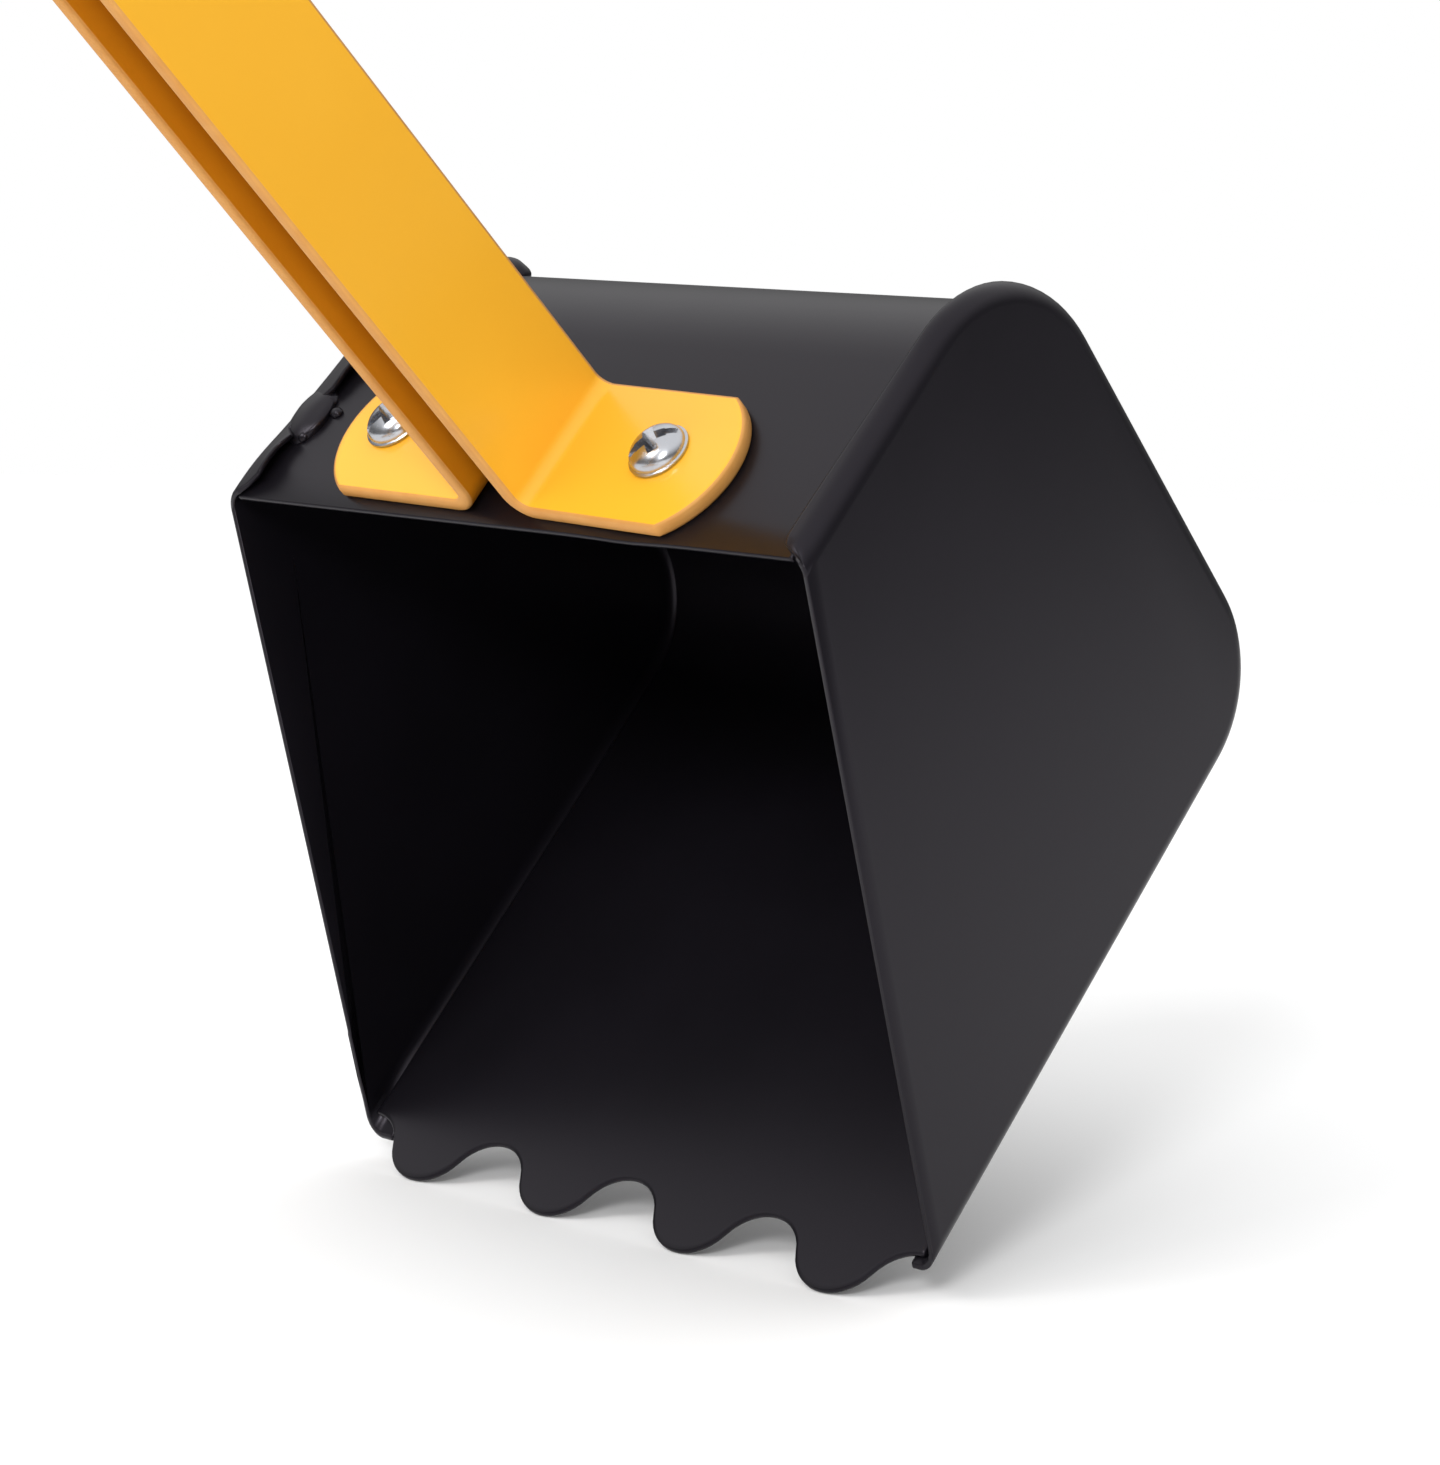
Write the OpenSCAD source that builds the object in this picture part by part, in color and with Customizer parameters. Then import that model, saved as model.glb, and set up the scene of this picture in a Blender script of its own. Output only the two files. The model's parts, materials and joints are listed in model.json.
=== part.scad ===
// Ride-on sand digger: a steel stand, a turning seat beam, a boom and a stick worked by two
// hand levers, and a pressed steel bucket with rolled rims and a scalloped digging edge.
// The origin is on the floor under the turning axis, +X points to the bucket, +Z up.

/* [Bucket] */
// Width over the two side plates
bucket_w = 161; // [130:1:190]
// Length of the flat top plate, from the mouth to the back
bucket_top = 83.5; // [70:0.5:100]
// Depth from the top plate to the floor
bucket_depth = 123; // [100:1:140]
// How far the floor runs ahead of the top plate at the mouth
mouth_rake = 71.5; // [50:0.5:90]
// Lean of the back plate towards the mouth
back_lean = 5; // [0:0.2:10]
// Outer radius of the bend between the top plate and the back
bend_top = 29; // [16:1:34]
// Outer radius of the bend between the back and the floor
bend_low = 24; // [14:1:30]
// Thickness of the bucket's sheet steel
sheet_t = 1.2; // [1:0.1:2]
// Width of the rolled rim on each side plate
rim_w = 6; // [5:0.5:10]
// Inner radius of the rolled rim
rim_r = 3; // [2:0.5:4]
// Gap between the rolled rim and the sheet that it covers
rim_gap = 0.3; // [0.2:0.1:1.5]
// Number of scallops on the digging edge
tooth_count = 4; // [3:1:5]
// Reach of a scallop from its root to its tip
tooth_reach = 12.5; // [8:0.5:16]
// Reach of a scallop's tip ahead of the mouth line
tooth_ahead = 11; // [6:0.1:14]

/* [Arm] */
// Width of the flat steel bars
bar_w = 32; // [26:1:38]
// Thickness of the flat steel bars
bar_t = 3; // [2.5:0.5:4]
// Clear gap between the two stick bars
bar_gap = 10; // [9:0.5:12]
// Distance from the mouth edge to the stick bars' front edge
bar_set = 2.3; // [0:0.1:8]
// Inner radius of the bend at the foot of a stick bar
foot_bend = 3; // [2:0.5:5]
// Distance from the middle plane to each foot screw
foot_screw_y = 36.5; // [32:0.5:42]
// Radius of the round end of each foot
foot_end_r = 18.5; // [16.5:0.5:20]
// Tilt of the bucket's top plate from level
bucket_tilt = 45; // [38:1:52]
// Length of the boom between its pivots
boom_len = 300; // [260:5:340]
// Angle of the boom from level
boom_rise = 25; // [15:1:35]
// Offset of the link's pivots from the stick's and the lever's pivots
link_arm = 65; // [55:1:75]
// Width of the link bar
link_w = 20; // [16:1:26]
// Thickness of the link bar
link_t = 5; // [4:0.5:6]
// Thickness of the nylon washers
washer_t = 1; // [0.8:0.1:1.5]
// Radius of the nylon washers
washer_r = 11; // [9:0.5:13]
// Radius of the pivot bolts
bolt_r = 4; // [3:0.5:5]

/* [Levers] */
// Outer radius of the lever tubes
tube_r = 11; // [9:0.5:13]
// Wall of the round tubes
tube_wall = 1.5; // [1:0.1:2.5]
// Height of the top of the grips
grip_top = 660; // [620:5:700]
// Distance from the middle plane to each grip
grip_y = 70; // [60:1:90]
// Length of a grip
grip_len = 115; // [100:1:130]
// Radius of a grip over its ribs
grip_r = 15.5; // [14:0.5:18]
// Number of ribs on a grip
grip_ribs = 9; // [5:1:12]
// Centre-line radius of the tube bends
tube_bend = 50; // [40:1:60]
// Bend angle of the boom lever
boom_lever_kink = 25; // [20:1:30]
// Bend angle of the stick lever
stick_lever_kink = 40; // [34:1:45]
// Backward lean of the boom lever
boom_lever_lean = 15; // [8:1:20]
// Backward lean of the stick lever
stick_lever_lean = 8; // [4:1:12]
// Distance along the boom from its pivot to the boom lever
lever_root = 56; // [52:1:70]

/* [Turntable] */
// Distance from the turning axis to the boom pivot
pivot_x = 130; // [110:1:150]
// Height of the boom pivot
pivot_z = 300; // [280:1:320]
// Width of the main beam
beam_w = 50; // [46:1:60]
// Height of the main beam
beam_h = 30; // [25:1:40]
// Wall of the rectangular tubes
beam_wall = 2; // [1.5:0.1:3]
// Height of the main beam's top face
beam_top = 220; // [200:1:230]
// Reach of the main beam ahead of the turning axis
beam_front = 170; // [160:1:180]
// Reach of the main beam behind the turning axis
beam_rear = 150; // [140:1:170]
// Thickness of the boom bracket
ear_t = 4; // [3:0.5:5]
// Radius of the boom bracket's ears
ear_r = 20; // [17:0.5:22]
// Thickness of the turntable's bush walls
bush_wall = 1.95; // [1.5:0.05:3]
// Wall of the turning sleeve
sleeve_wall = 2; // [1.5:0.1:3]
// Thickness of the bush flanges
bush_flange = 3; // [2:0.5:4]

/* [Seat] */
// Width of the seat shell
seat_w = 320; // [280:5:350]
// Thickness of the seat shell
seat_t = 4.5; // [4:0.5:6]
// Height of the seat bracket's top face
seat_z = 262; // [250:1:280]
// Length of the flat part of the seat pan
pan_len = 165; // [140:5:190]
// Height of the straight part of the backrest
back_len = 85; // [60:5:120]
// Rise of the seat's side wings
wing_rise = 34; // [20:1:45]
// Distance from the turning axis to the front of the flat pan
pan_front = 45; // [30:1:60]

/* [Stand] */
// Radius of the four legs, from the turning axis to their tips
leg_reach = 330; // [300:5:360]
// Width and height of the legs' square tube
leg_w = 30; // [25:1:35]
// Thickness of the base plate under the legs
base_t = 3; // [2:0.5:5]
// Outer radius of the post
post_r = 16; // [14:0.5:18]
// Wall of the post
post_wall = 2; // [1.5:0.1:3]
// Distance between the base plate and the turning sleeve
sleeve_low = 66; // [56:1:80]

/* [Footrest] */
// Height of the footrest bar
foot_z = 120; // [105:1:135]
// Half the length of the footrest bar
foot_half = 150; // [120:5:170]
// Length of each rubber sleeve on the footrest
foot_sleeve = 90; // [70:5:100]
// Distance from the turning axis to the footrest bar
foot_x = 150; // [140:1:155]

/* [Hidden] */

yellow = "#f6b22d";
black_steel = "#2b2a2e";
black_plastic = "#1c1c1e";
zinc = "#b9bcc0";
nylon = "#d8d6cc";

// Radial play of a hole round a bolt that is clamped in it, of one that turns, and of a screw
play_fixed = 0.05;
play_turn = 0.08;
play_screw = 0.3;
// Radial play of the open pivot between the link and the stick
play_open = 0.5;
// Gap that keeps two faces of different bodies apart
face_gap = 0.1;
// Overlap of a cutting tool past the face that it cuts
cut = 1;
// Where a straight piece meets a bend, one runs this far into the other and is this much
// thinner on every face, so that the two fuse
lap = 1;
lap_step = 0.1;
// Steps of a computed arc, and of the small arcs in the rolled rim
arc_n = 8;
rim_n = 5;
// Facets of a drawn circle
$fn = 64;

// Sideways positions of the arm's layers, from the middle plane outwards
stick_in = bar_gap / 2;
stick_out = stick_in + bar_t;
boom_in = stick_out + washer_t;
boom_out = boom_in + bar_t;
ear_in = boom_out + washer_t;
ear_out = ear_in + ear_t;

// Hexagon heads and lock nuts, as multiples of the bolt's radius
hex_ratio = 1.87;
head_r = bolt_r * hex_ratio;
head_h = bolt_r * 1.3;
nut_h = bolt_r * 2;
// Thread that shows past a lock nut
bolt_end = 2;
// Wall of the spacer tubes on the pivot bolts
spacer_wall = 3;

// Bucket profile in its own plane: x along the top plate to the back, y up from the plate
mouth_top = [0, 0];
top_corner = [bucket_top, 0];
low_corner = [bucket_top - bucket_depth * tan(back_lean), -bucket_depth];
mouth_low = [-mouth_rake, -bucket_depth];
side_half = bucket_w / 2;
rim_out = rim_gap + sheet_t;
rim_centre = rim_gap - rim_r;
// The shell's edges stop just inside the rims' folds
fold_clear = 0.1;
fold_reach = sqrt(pow(rim_r - fold_clear, 2) - pow(rim_centre, 2));
shell_half = side_half - sheet_t - rim_r + fold_reach;

// Scallops: equal tip and root arcs that meet on their flanks
tooth_pitch = 2 * shell_half / tooth_count;
tooth_root = mouth_low[0] - tooth_ahead + tooth_reach;
tooth_arc = (tooth_pitch * tooth_pitch / 4 + tooth_reach * tooth_reach) / (4 * tooth_reach);

// Foot screws and their place along the top plate
screw_r = 3;
screw_head_r = 6;
screw_head_h = 4;
foot_mid = bar_set + bar_w / 2;

// Boom, stick and link pivots in the x and z of the digger
boom_pivot = [pivot_x, pivot_z];
boom_dir = [cos(boom_rise), sin(boom_rise)];
elbow = boom_pivot + boom_len * boom_dir;
stick_dir = [-sin(bucket_tilt), cos(bucket_tilt)];
plate_dir = [cos(bucket_tilt), sin(bucket_tilt)];
link_rear = boom_pivot + link_arm * stick_dir;
link_front = elbow + link_arm * stick_dir;

// The stick is as long as it takes for the scallop tips to touch the floor
stick_len = (elbow[1] - (mouth_rake + tooth_ahead + foot_mid) * sin(bucket_tilt)
  - bucket_depth * cos(bucket_tilt)) / cos(bucket_tilt);
bucket_at = elbow - stick_len * stick_dir - foot_mid * plate_dir;

// Levers: where their tubes start, how far their plates rise beside the tubes, and the straight
// ends that carry the grips
lever_plate_r = 16;
lever_foot_at = [-18, 78];
lever_foot_rise = 45;
lever_foot = boom_pivot + lever_foot_at;
stick_lever_dir = [-sin(stick_lever_lean), cos(stick_lever_lean)];
lever_tip = lever_foot + lever_foot_rise * stick_lever_dir;
stick_lever_y = stick_out + tube_r;
stick_lever_offset = grip_y - stick_lever_y;
lever_seat = boom_pivot + lever_root * boom_dir;
boom_lever_dir = [-sin(boom_lever_lean), cos(boom_lever_lean)];
boom_lever_y = boom_out + bar_t + tube_r;
boom_lever_offset = grip_y - boom_lever_y;
lever_bolt_step = 22;
lever_bolt_r = 3;
lever_plate_rise = 60;
grip_wall = 2.5;
grip_clear = 15;
lever_high = grip_len + grip_clear;
// Height of the ribs on grips and rubber sleeves, and of the collar under a grip
rib_h = 1.5;
grip_collar = 4.5;

// Legs and their plastic shoes
leg_turns = [45, -45, 135, -135];
leg_gap = 0.2;
leg_cap_end = 4;
leg_cap_len = 40;

// Turntable
sleeve_bore = post_r + play_fixed + bush_wall;
sleeve_r = sleeve_bore + sleeve_wall;
flange_over = 3;
flange_r = sleeve_r + flange_over;
collar_h = 6;
sleeve_foot = base_t + sleeve_low;
sleeve_over = 6;
sleeve_top = beam_top + sleeve_over;
post_play = 0.3;
post_top = sleeve_top + bush_flange + post_play;
bush_len = 25;
post_washer_t = 3;
bracket_half = 35;
bracket_bolt_x = 20;
bracket_bolts = [pivot_x - bracket_bolt_x, pivot_x + bracket_bolt_x];

// Seat bracket, its bolts and the seat's bosses
seat_mid = -60;
seat_cross_x = 35;
seat_cross_bolts = [seat_mid - seat_cross_x, seat_mid + seat_cross_x];
bracket_t = 3;
bracket_edge = 14;
bracket_lift = 3;
boss_x = 50;
boss_y = 38;
boss_r = 9;
boss_h = 8;
boss_root = 2;
seat_bolt_r = 3;

// Seat shell: the side profile is a rolled front edge, a flat pan, a hip bend and a backrest
roll_r = 26;
roll_sweep = 70;
hip_r = 62;
hip_sweep = 78;
pan_z = seat_z + boss_h + seat_t;
roll_at = [pan_front, pan_z - roll_r];
hip_at = [pan_front - pan_len, pan_z + hip_r];
// Its wings: bend radius, slope, height where they have faded out, and length of the fading
wing_r = 30;
wing_slope = 68;
wing_low = 2;
wing_fade = 70;
seat_corner_r = 45;

// Footrest: half sizes of the stem, how far it passes the bar, and the rubber sleeves
stem_x = 16;
stem_y = 13;
stem_below = 5;
rubber_t = 3;
rubber_ribs = 7;

// Height that lever_rod takes between its two straight ends
function kink_rise(kink, offset) = 2 * tube_bend * sin(kink)
  + (offset - 2 * tube_bend * (1 - cos(kink))) / tan(kink);

// Length of each lever up to the end of its tube, and of the straight below its bends
boom_lever_run = (grip_top - grip_wall - lever_seat[1]) / cos(boom_lever_lean);
boom_lever_low = boom_lever_run - lever_high - kink_rise(boom_lever_kink, boom_lever_offset);
stick_lever_run = (grip_top - grip_wall - lever_foot[1]) / cos(stick_lever_lean);
stick_lever_low = stick_lever_run - lever_high
  - kink_rise(stick_lever_kink, stick_lever_offset);

function rev(list) = [for (i = [len(list) - 1:-1:0]) list[i]];
function along(deg) = [cos(deg), sin(deg)];
function arc(c, r, from, to, n = arc_n) =
  [for (i = [0:n]) c + r * along(from + (to - from) * i / n)];
// The same without its last point, for a chain of arcs
function open_arc(c, r, from, to, n) =
  [for (i = [0:n - 1]) c + r * along(from + (to - from) * i / n)];
// Angle of one lap on a bend
function lap_turn(r) = lap / r * 180 / PI;
function unit(v) = v / norm(v);
// Left-hand normal of the direction from p to q
function left_of(p, q) = let (d = unit(q - p)) [-d[1], d[0]];
function heading(p, q) = atan2(q[1] - p[1], q[0] - p[0]);
// Right turn from the edge p-q to the edge q-s
function turn(p, q, s) = (heading(p, q) - heading(q, s) + 360) % 360;
// Distance from the corner to where its round begins
function skip(p, q, s, r) = r * tan(turn(p, q, s) / 2);
// Centre of the round at the corner q of a right turn
function round_centre(p, q, s, r) =
  q - skip(p, q, s, r) * unit(q - p) - r * left_of(p, q);
// Points of that round, on a radius that may differ from the one that placed it
function round_pts(p, q, s, r, drawn) =
  let (from = heading(p, q) + 90)
  arc(round_centre(p, q, s, r), drawn, from, from - turn(p, q, s));

// Draws a flat outline of x and z as a plate between two sideways positions
module plate(y0, y1) {
  translate([0, y1, 0]) rotate([90, 0, 0]) linear_extrude(height = y1 - y0) children();
}

// A round-ended bar between two points
module bar_outline(p, q, r) {
  n = r * left_of(p, q);
  polygon([p + n, p - n, q - n, q + n]);
  translate(p) circle(r = r);
  translate(q) circle(r = r);
}

// A triangle of three points, in clockwise order, with round corners of one radius
module gusset_outline(a, b, c, r) {
  ab = r * left_of(a, b);
  bc = r * left_of(b, c);
  ca = r * left_of(c, a);
  polygon([a + ca, c + ca, c + bc, b + bc, b + ab, a + ab]);
  for (p = [a, b, c]) dot(p, r);
}

module dot(p, r) {
  translate(p) circle(r = r);
}

// A hexagon bolt across the arm: head on the left, shank to beyond the lock nut
module cross_bolt(p, half) {
  color(zinc) {
    plate(half, half + head_h) translate(p) circle(r = head_r, $fn = 6);
    plate(-half - nut_h - bolt_end, half) dot(p, bolt_r);
  }
}

module cross_nut(p, half) {
  color(zinc) difference() {
    plate(-half - nut_h, -half) translate(p) circle(r = head_r, $fn = 6);
    plate(-half - nut_h - cut, -half + cut) dot(p, bolt_r + play_fixed);
  }
}

// A pair of washers on both sides of the middle plane
module washer_pair(p, y0, y1, r, hole) {
  for (side = [0, 1]) mirror([0, side, 0]) plate(y0, y1) difference() {
    dot(p, r);
    dot(p, hole);
  }
}

module tube(r, wall, len) {
  difference() {
    cylinder(r = r, h = len);
    translate([0, 0, -cut]) cylinder(r = r - wall, h = len + 2 * cut);
  }
}

// A bend of round bar that starts upwards and turns towards +Y
module rod_elbow(r, kink) {
  translate([0, tube_bend, 0]) rotate([90, 0, -90]) rotate_extrude(angle = kink)
    translate([tube_bend, 0]) circle(r = r);
}

// A round bar: up, out by the given offset through two equal bends, and up again
module lever_rod(r, low, kink, offset, high, over = 0) {
  lean_len = (offset - 2 * tube_bend * (1 - cos(kink))) / sin(kink);
  step = [0, tube_bend * (1 - cos(kink)), tube_bend * sin(kink)];
  run = [0, lean_len * sin(kink), lean_len * cos(kink)];
  thin = r - lap_step;
  translate([0, 0, -over]) cylinder(r = thin, h = low + over + lap);
  translate([0, 0, low]) {
    rod_elbow(r, kink);
    translate(step) rotate([-kink, 0, 0]) translate([0, 0, -lap])
      cylinder(r = thin, h = lean_len + 2 * lap);
    translate(step + run) rotate([-kink, 0, 0]) mirror([0, 1, 0]) rod_elbow(r, kink);
    translate(2 * step + run) translate([0, 0, -lap]) cylinder(r = thin, h = high + over + lap);
  }
}

// The same bent from tube, open at both ends
module lever_path(low, kink, offset, high) {
  difference() {
    lever_rod(tube_r, low, kink, offset, high);
    lever_rod(tube_r - tube_wall, low, kink, offset, high, cut);
  }
}

// A ribbed hand grip, open below and closed at its top
module grip() {
  rib = grip_len / (2 * grip_ribs + 2);
  bore = tube_r + play_fixed;
  body = grip_r - rib_h;
  color(black_plastic) rotate_extrude() union() {
    translate([bore, 0]) square([body + grip_collar - bore, rib]);
    translate([bore, 0]) square([body - bore, grip_len]);
    translate([0, grip_len]) square([body, grip_wall]);
    for (i = [1:grip_ribs]) translate([bore, 2 * i * rib]) square([grip_r - bore, rib]);
  }
}

// Stand

module base_plate() {
  plate_half = 48;
  color(yellow) rotate([0, 0, 45]) translate([-plate_half, -plate_half, 0])
    cube([2 * plate_half, 2 * plate_half, base_t]);
}

module leg(turn) {
  start = post_r + leg_gap;
  color(yellow) rotate([0, 0, turn]) translate([start, -leg_w / 2, base_t]) difference() {
    cube([leg_reach - leg_cap_end - start, leg_w, leg_w]);
    translate([-cut, beam_wall, beam_wall])
      cube([leg_reach - start + cut, leg_w - 2 * beam_wall, leg_w - 2 * beam_wall]);
  }
}

// Four plastic shoes that close the legs and stand on the floor
module leg_end_caps() {
  outer = leg_w + 2 * base_t;
  color(black_plastic) for (turn = leg_turns) rotate([0, 0, turn]) difference() {
    translate([leg_reach - leg_cap_len, -outer / 2, 0]) cube([leg_cap_len, outer, outer]);
    translate([leg_reach - leg_cap_len - cut, -leg_w / 2, base_t])
      cube([leg_cap_len - leg_cap_end + cut, leg_w, leg_w]);
  }
}

module post() {
  color(yellow) translate([0, 0, base_t]) tube(post_r, post_wall, post_top - base_t);
}

// Ring on the post that carries the lower bush
module post_collar() {
  color(yellow) translate([0, 0, sleeve_foot - bush_flange - collar_h]) difference() {
    cylinder(r = flange_r, h = collar_h);
    translate([0, 0, -cut]) cylinder(r = post_r + play_fixed, h = collar_h + 2 * cut);
  }
}

// Threaded plug in the top of the post
module post_plug() {
  plug_h = 20;
  color(zinc) translate([0, 0, post_top - plug_h]) difference() {
    cylinder(r = post_r - post_wall - play_fixed, h = plug_h);
    translate([0, 0, -cut]) cylinder(r = bolt_r + play_fixed, h = plug_h + 2 * cut);
  }
}

module post_washer() {
  color(zinc) translate([0, 0, post_top]) difference() {
    cylinder(r = flange_r, h = post_washer_t);
    translate([0, 0, -cut]) cylinder(r = bolt_r + play_fixed, h = post_washer_t + 2 * cut);
  }
}

module post_bolt() {
  shank = 25;
  color(zinc) translate([0, 0, post_top + post_washer_t]) {
    cylinder(r = head_r, h = head_h, $fn = 6);
    translate([0, 0, -shank]) cylinder(r = bolt_r, h = shank);
  }
}

// Turntable

module turning_sleeve() {
  color(yellow) translate([0, 0, sleeve_foot]) difference() {
    cylinder(r = sleeve_r, h = sleeve_top - sleeve_foot);
    translate([0, 0, -cut]) cylinder(r = sleeve_bore, h = sleeve_top - sleeve_foot + 2 * cut);
  }
}

// A flanged bush: the flange is below the origin, the barrel above it
module bush() {
  color(nylon) rotate_extrude() union() {
    translate([post_r + play_fixed, 0]) square([bush_wall - play_fixed, bush_len]);
    translate([post_r + play_fixed, -bush_flange]) square([flange_r - post_r, bush_flange]);
  }
}

module lower_bush() {
  translate([0, 0, sleeve_foot]) bush();
}

module upper_bush() {
  translate([0, 0, sleeve_top]) mirror([0, 0, 1]) bush();
}

module main_beam() {
  len = beam_front + beam_rear;
  color(yellow) difference() {
    translate([-beam_rear, -beam_w / 2, beam_top - beam_h]) cube([len, beam_w, beam_h]);
    translate([-beam_rear - cut, -beam_w / 2 + beam_wall, beam_top - beam_h + beam_wall])
      cube([len + 2 * cut, beam_w - 2 * beam_wall, beam_h - 2 * beam_wall]);
    translate([0, 0, beam_top - beam_h - cut])
      cylinder(r = sleeve_r + play_fixed, h = beam_h + 2 * cut);
    for (x = bracket_bolts) translate([x, 0, beam_top - beam_wall - cut])
      cylinder(r = bolt_r + play_fixed, h = beam_wall + 2 * cut);
    for (x = seat_cross_bolts) plate(-beam_w / 2 - cut, beam_w / 2 + cut)
      dot([x, beam_top - beam_h / 2], bolt_r + play_fixed);
  }
}

// Plastic plugs with a thin lip in both ends of the beam
module beam_end_caps() {
  lip = 3;
  depth = 9;
  inner_w = beam_w - 2 * beam_wall;
  inner_h = beam_h - 2 * beam_wall;
  mid = [0, 0, beam_top - beam_h / 2];
  color(black_plastic) for (end = [[beam_front, 0], [-beam_rear, 180]])
    translate(mid + [end[0], 0, 0]) rotate([0, 0, end[1]]) {
      translate([0, -beam_w / 2, -beam_h / 2]) cube([lip, beam_w, beam_h]);
      translate([-depth, -inner_w / 2, -inner_h / 2]) cube([depth + lip, inner_w, inner_h]);
    }
}

// U-shaped bracket whose ears carry the boom pivot
module boom_bracket() {
  low = beam_top;
  color(yellow) difference() {
    union() {
      for (side = [0, 1]) mirror([0, side, 0]) plate(ear_in, ear_out) ear_outline(low);
      translate([pivot_x - bracket_half, -ear_out, low]) cube([2 * bracket_half, 2 * ear_out, ear_t]);
    }
    plate(-ear_out - cut, ear_out + cut) dot(boom_pivot, bolt_r + play_fixed);
    for (x = bracket_bolts) translate([x, 0, low - cut])
      cylinder(r = bolt_r + play_fixed, h = ear_t + 2 * cut);
  }
}

module ear_outline(low) {
  wide = [bracket_half, low - pivot_z];
  reach = norm(wide);
  // Tangent from the foot's corner to the round top
  swing = acos(ear_r / reach) + atan2(wide[1], wide[0]);
  tangent = ear_r * along(swing);
  translate(boom_pivot) {
    polygon([wide, tangent, [-tangent[0], tangent[1]], [-wide[0], wide[1]]]);
    circle(r = ear_r);
  }
}

module boom_bracket_bolts() {
  shank = ear_t + beam_wall + nut_h + bolt_end;
  color(zinc) for (x = bracket_bolts) translate([x, 0, beam_top + ear_t]) {
    cylinder(r = head_r, h = head_h, $fn = 6);
    translate([0, 0, -shank]) cylinder(r = bolt_r, h = shank);
    translate([0, 0, -ear_t - beam_wall - nut_h]) difference() {
      cylinder(r = head_r, h = nut_h, $fn = 6);
      translate([0, 0, -cut]) cylinder(r = bolt_r, h = nut_h + 2 * cut);
    }
  }
}

module boom_pivot_bolt() {
  cross_bolt(boom_pivot, ear_out);
}

module boom_pivot_nut() {
  cross_nut(boom_pivot, ear_out);
}

module boom_pivot_washers() {
  color(nylon) washer_pair(boom_pivot, boom_out + face_gap, ear_in, washer_r, bolt_r + play_turn);
}

// Saddle that straddles the beam and carries the seat
module seat_bracket() {
  half_x = boss_x + bracket_edge;
  half_y = boss_y + bracket_edge;
  wall_low = beam_top - beam_h + bracket_lift;
  color(yellow) difference() {
    union() {
      translate([seat_mid - half_x, -half_y, seat_z - bracket_t])
        cube([2 * half_x, 2 * half_y, bracket_t]);
      for (side = [0, 1]) mirror([0, side, 0])
        translate([seat_mid - boss_x, beam_w / 2 + face_gap, wall_low])
          cube([2 * boss_x, bracket_t, seat_z - wall_low]);
    }
    for (x = [-boss_x, boss_x], y = [-boss_y, boss_y])
      translate([seat_mid + x, y, seat_z - bracket_t - cut])
        cylinder(r = seat_bolt_r + play_fixed, h = bracket_t + 2 * cut);
    for (x = seat_cross_bolts) plate(-beam_w, beam_w)
      dot([x, beam_top - beam_h / 2], bolt_r + play_fixed);
  }
}

module seat_bracket_bolts() {
  half = beam_w / 2 + face_gap + bracket_t;
  for (x = seat_cross_bolts) {
    p = [x, beam_top - beam_h / 2];
    color(zinc) {
      cross_bolt(p, half);
      difference() {
        plate(-half - nut_h, -half) translate(p) circle(r = head_r, $fn = 6);
        plate(-half - nut_h - cut, -half + cut) dot(p, bolt_r);
      }
    }
  }
}

// Points in the seat's side view at a height over its upper face: front roll and backrest
function roll_point(a, up) = roll_at + (roll_r + up) * [sin(a), cos(a)];
function back_point(d, up) = hip_at + (up - hip_r) * [sin(hip_sweep), cos(hip_sweep)]
  + d * [-cos(hip_sweep), sin(hip_sweep)];

// Section across the seat: flat, with a wing that bends up on either side
module seat_section(inset = 0) {
  slant = (wing_rise - wing_r * (1 - cos(wing_slope))) / sin(wing_slope);
  out = [sin(wing_slope), -cos(wing_slope)];
  flat = seat_w / 2 - wing_r * out[0] + slant * out[1] - seat_t / 2 * (1 + out[0]);
  centre = [flat, wing_r];
  top = centre + wing_r * out + slant * [-out[1], out[0]];
  rim = top + seat_t / 2 * out;
  right = concat(
    arc(centre, wing_r + seat_t - inset, 270, 270 + wing_slope),
    arc(rim, seat_t / 2 - inset, wing_slope - 90, wing_slope + 90),
    arc(centre, wing_r + inset, 270 + wing_slope, 270)
  );
  polygon(concat(right, rev([for (p = right) [-p[0], p[1]]])));
}

// Sweep of that section along the side profile
module seat_sweep() {
  roll_into = lap_turn(roll_r);
  hip_into = lap_turn(hip_r);
  translate([roll_at[0], 0, roll_at[1]]) rotate([-90, -90 - roll_into, 0])
    rotate_extrude(angle = roll_sweep + roll_into) translate([roll_r, 0]) rotate(-90)
      seat_section(lap_step);
  translate([hip_at[0], 0, pan_z]) rotate([90, 0, 90]) linear_extrude(height = pan_len)
    seat_section();
  translate([hip_at[0], 0, hip_at[1]]) {
    rotate([90, hip_sweep + hip_into - 270, 0]) rotate_extrude(angle = hip_sweep + 2 * hip_into)
      translate([hip_r, 0]) rotate(90) seat_section(lap_step);
    rotate([0, hip_sweep, 0]) translate([-back_len, 0, -hip_r]) rotate([90, 0, 90])
      linear_extrude(height = back_len) seat_section();
  }
}

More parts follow.
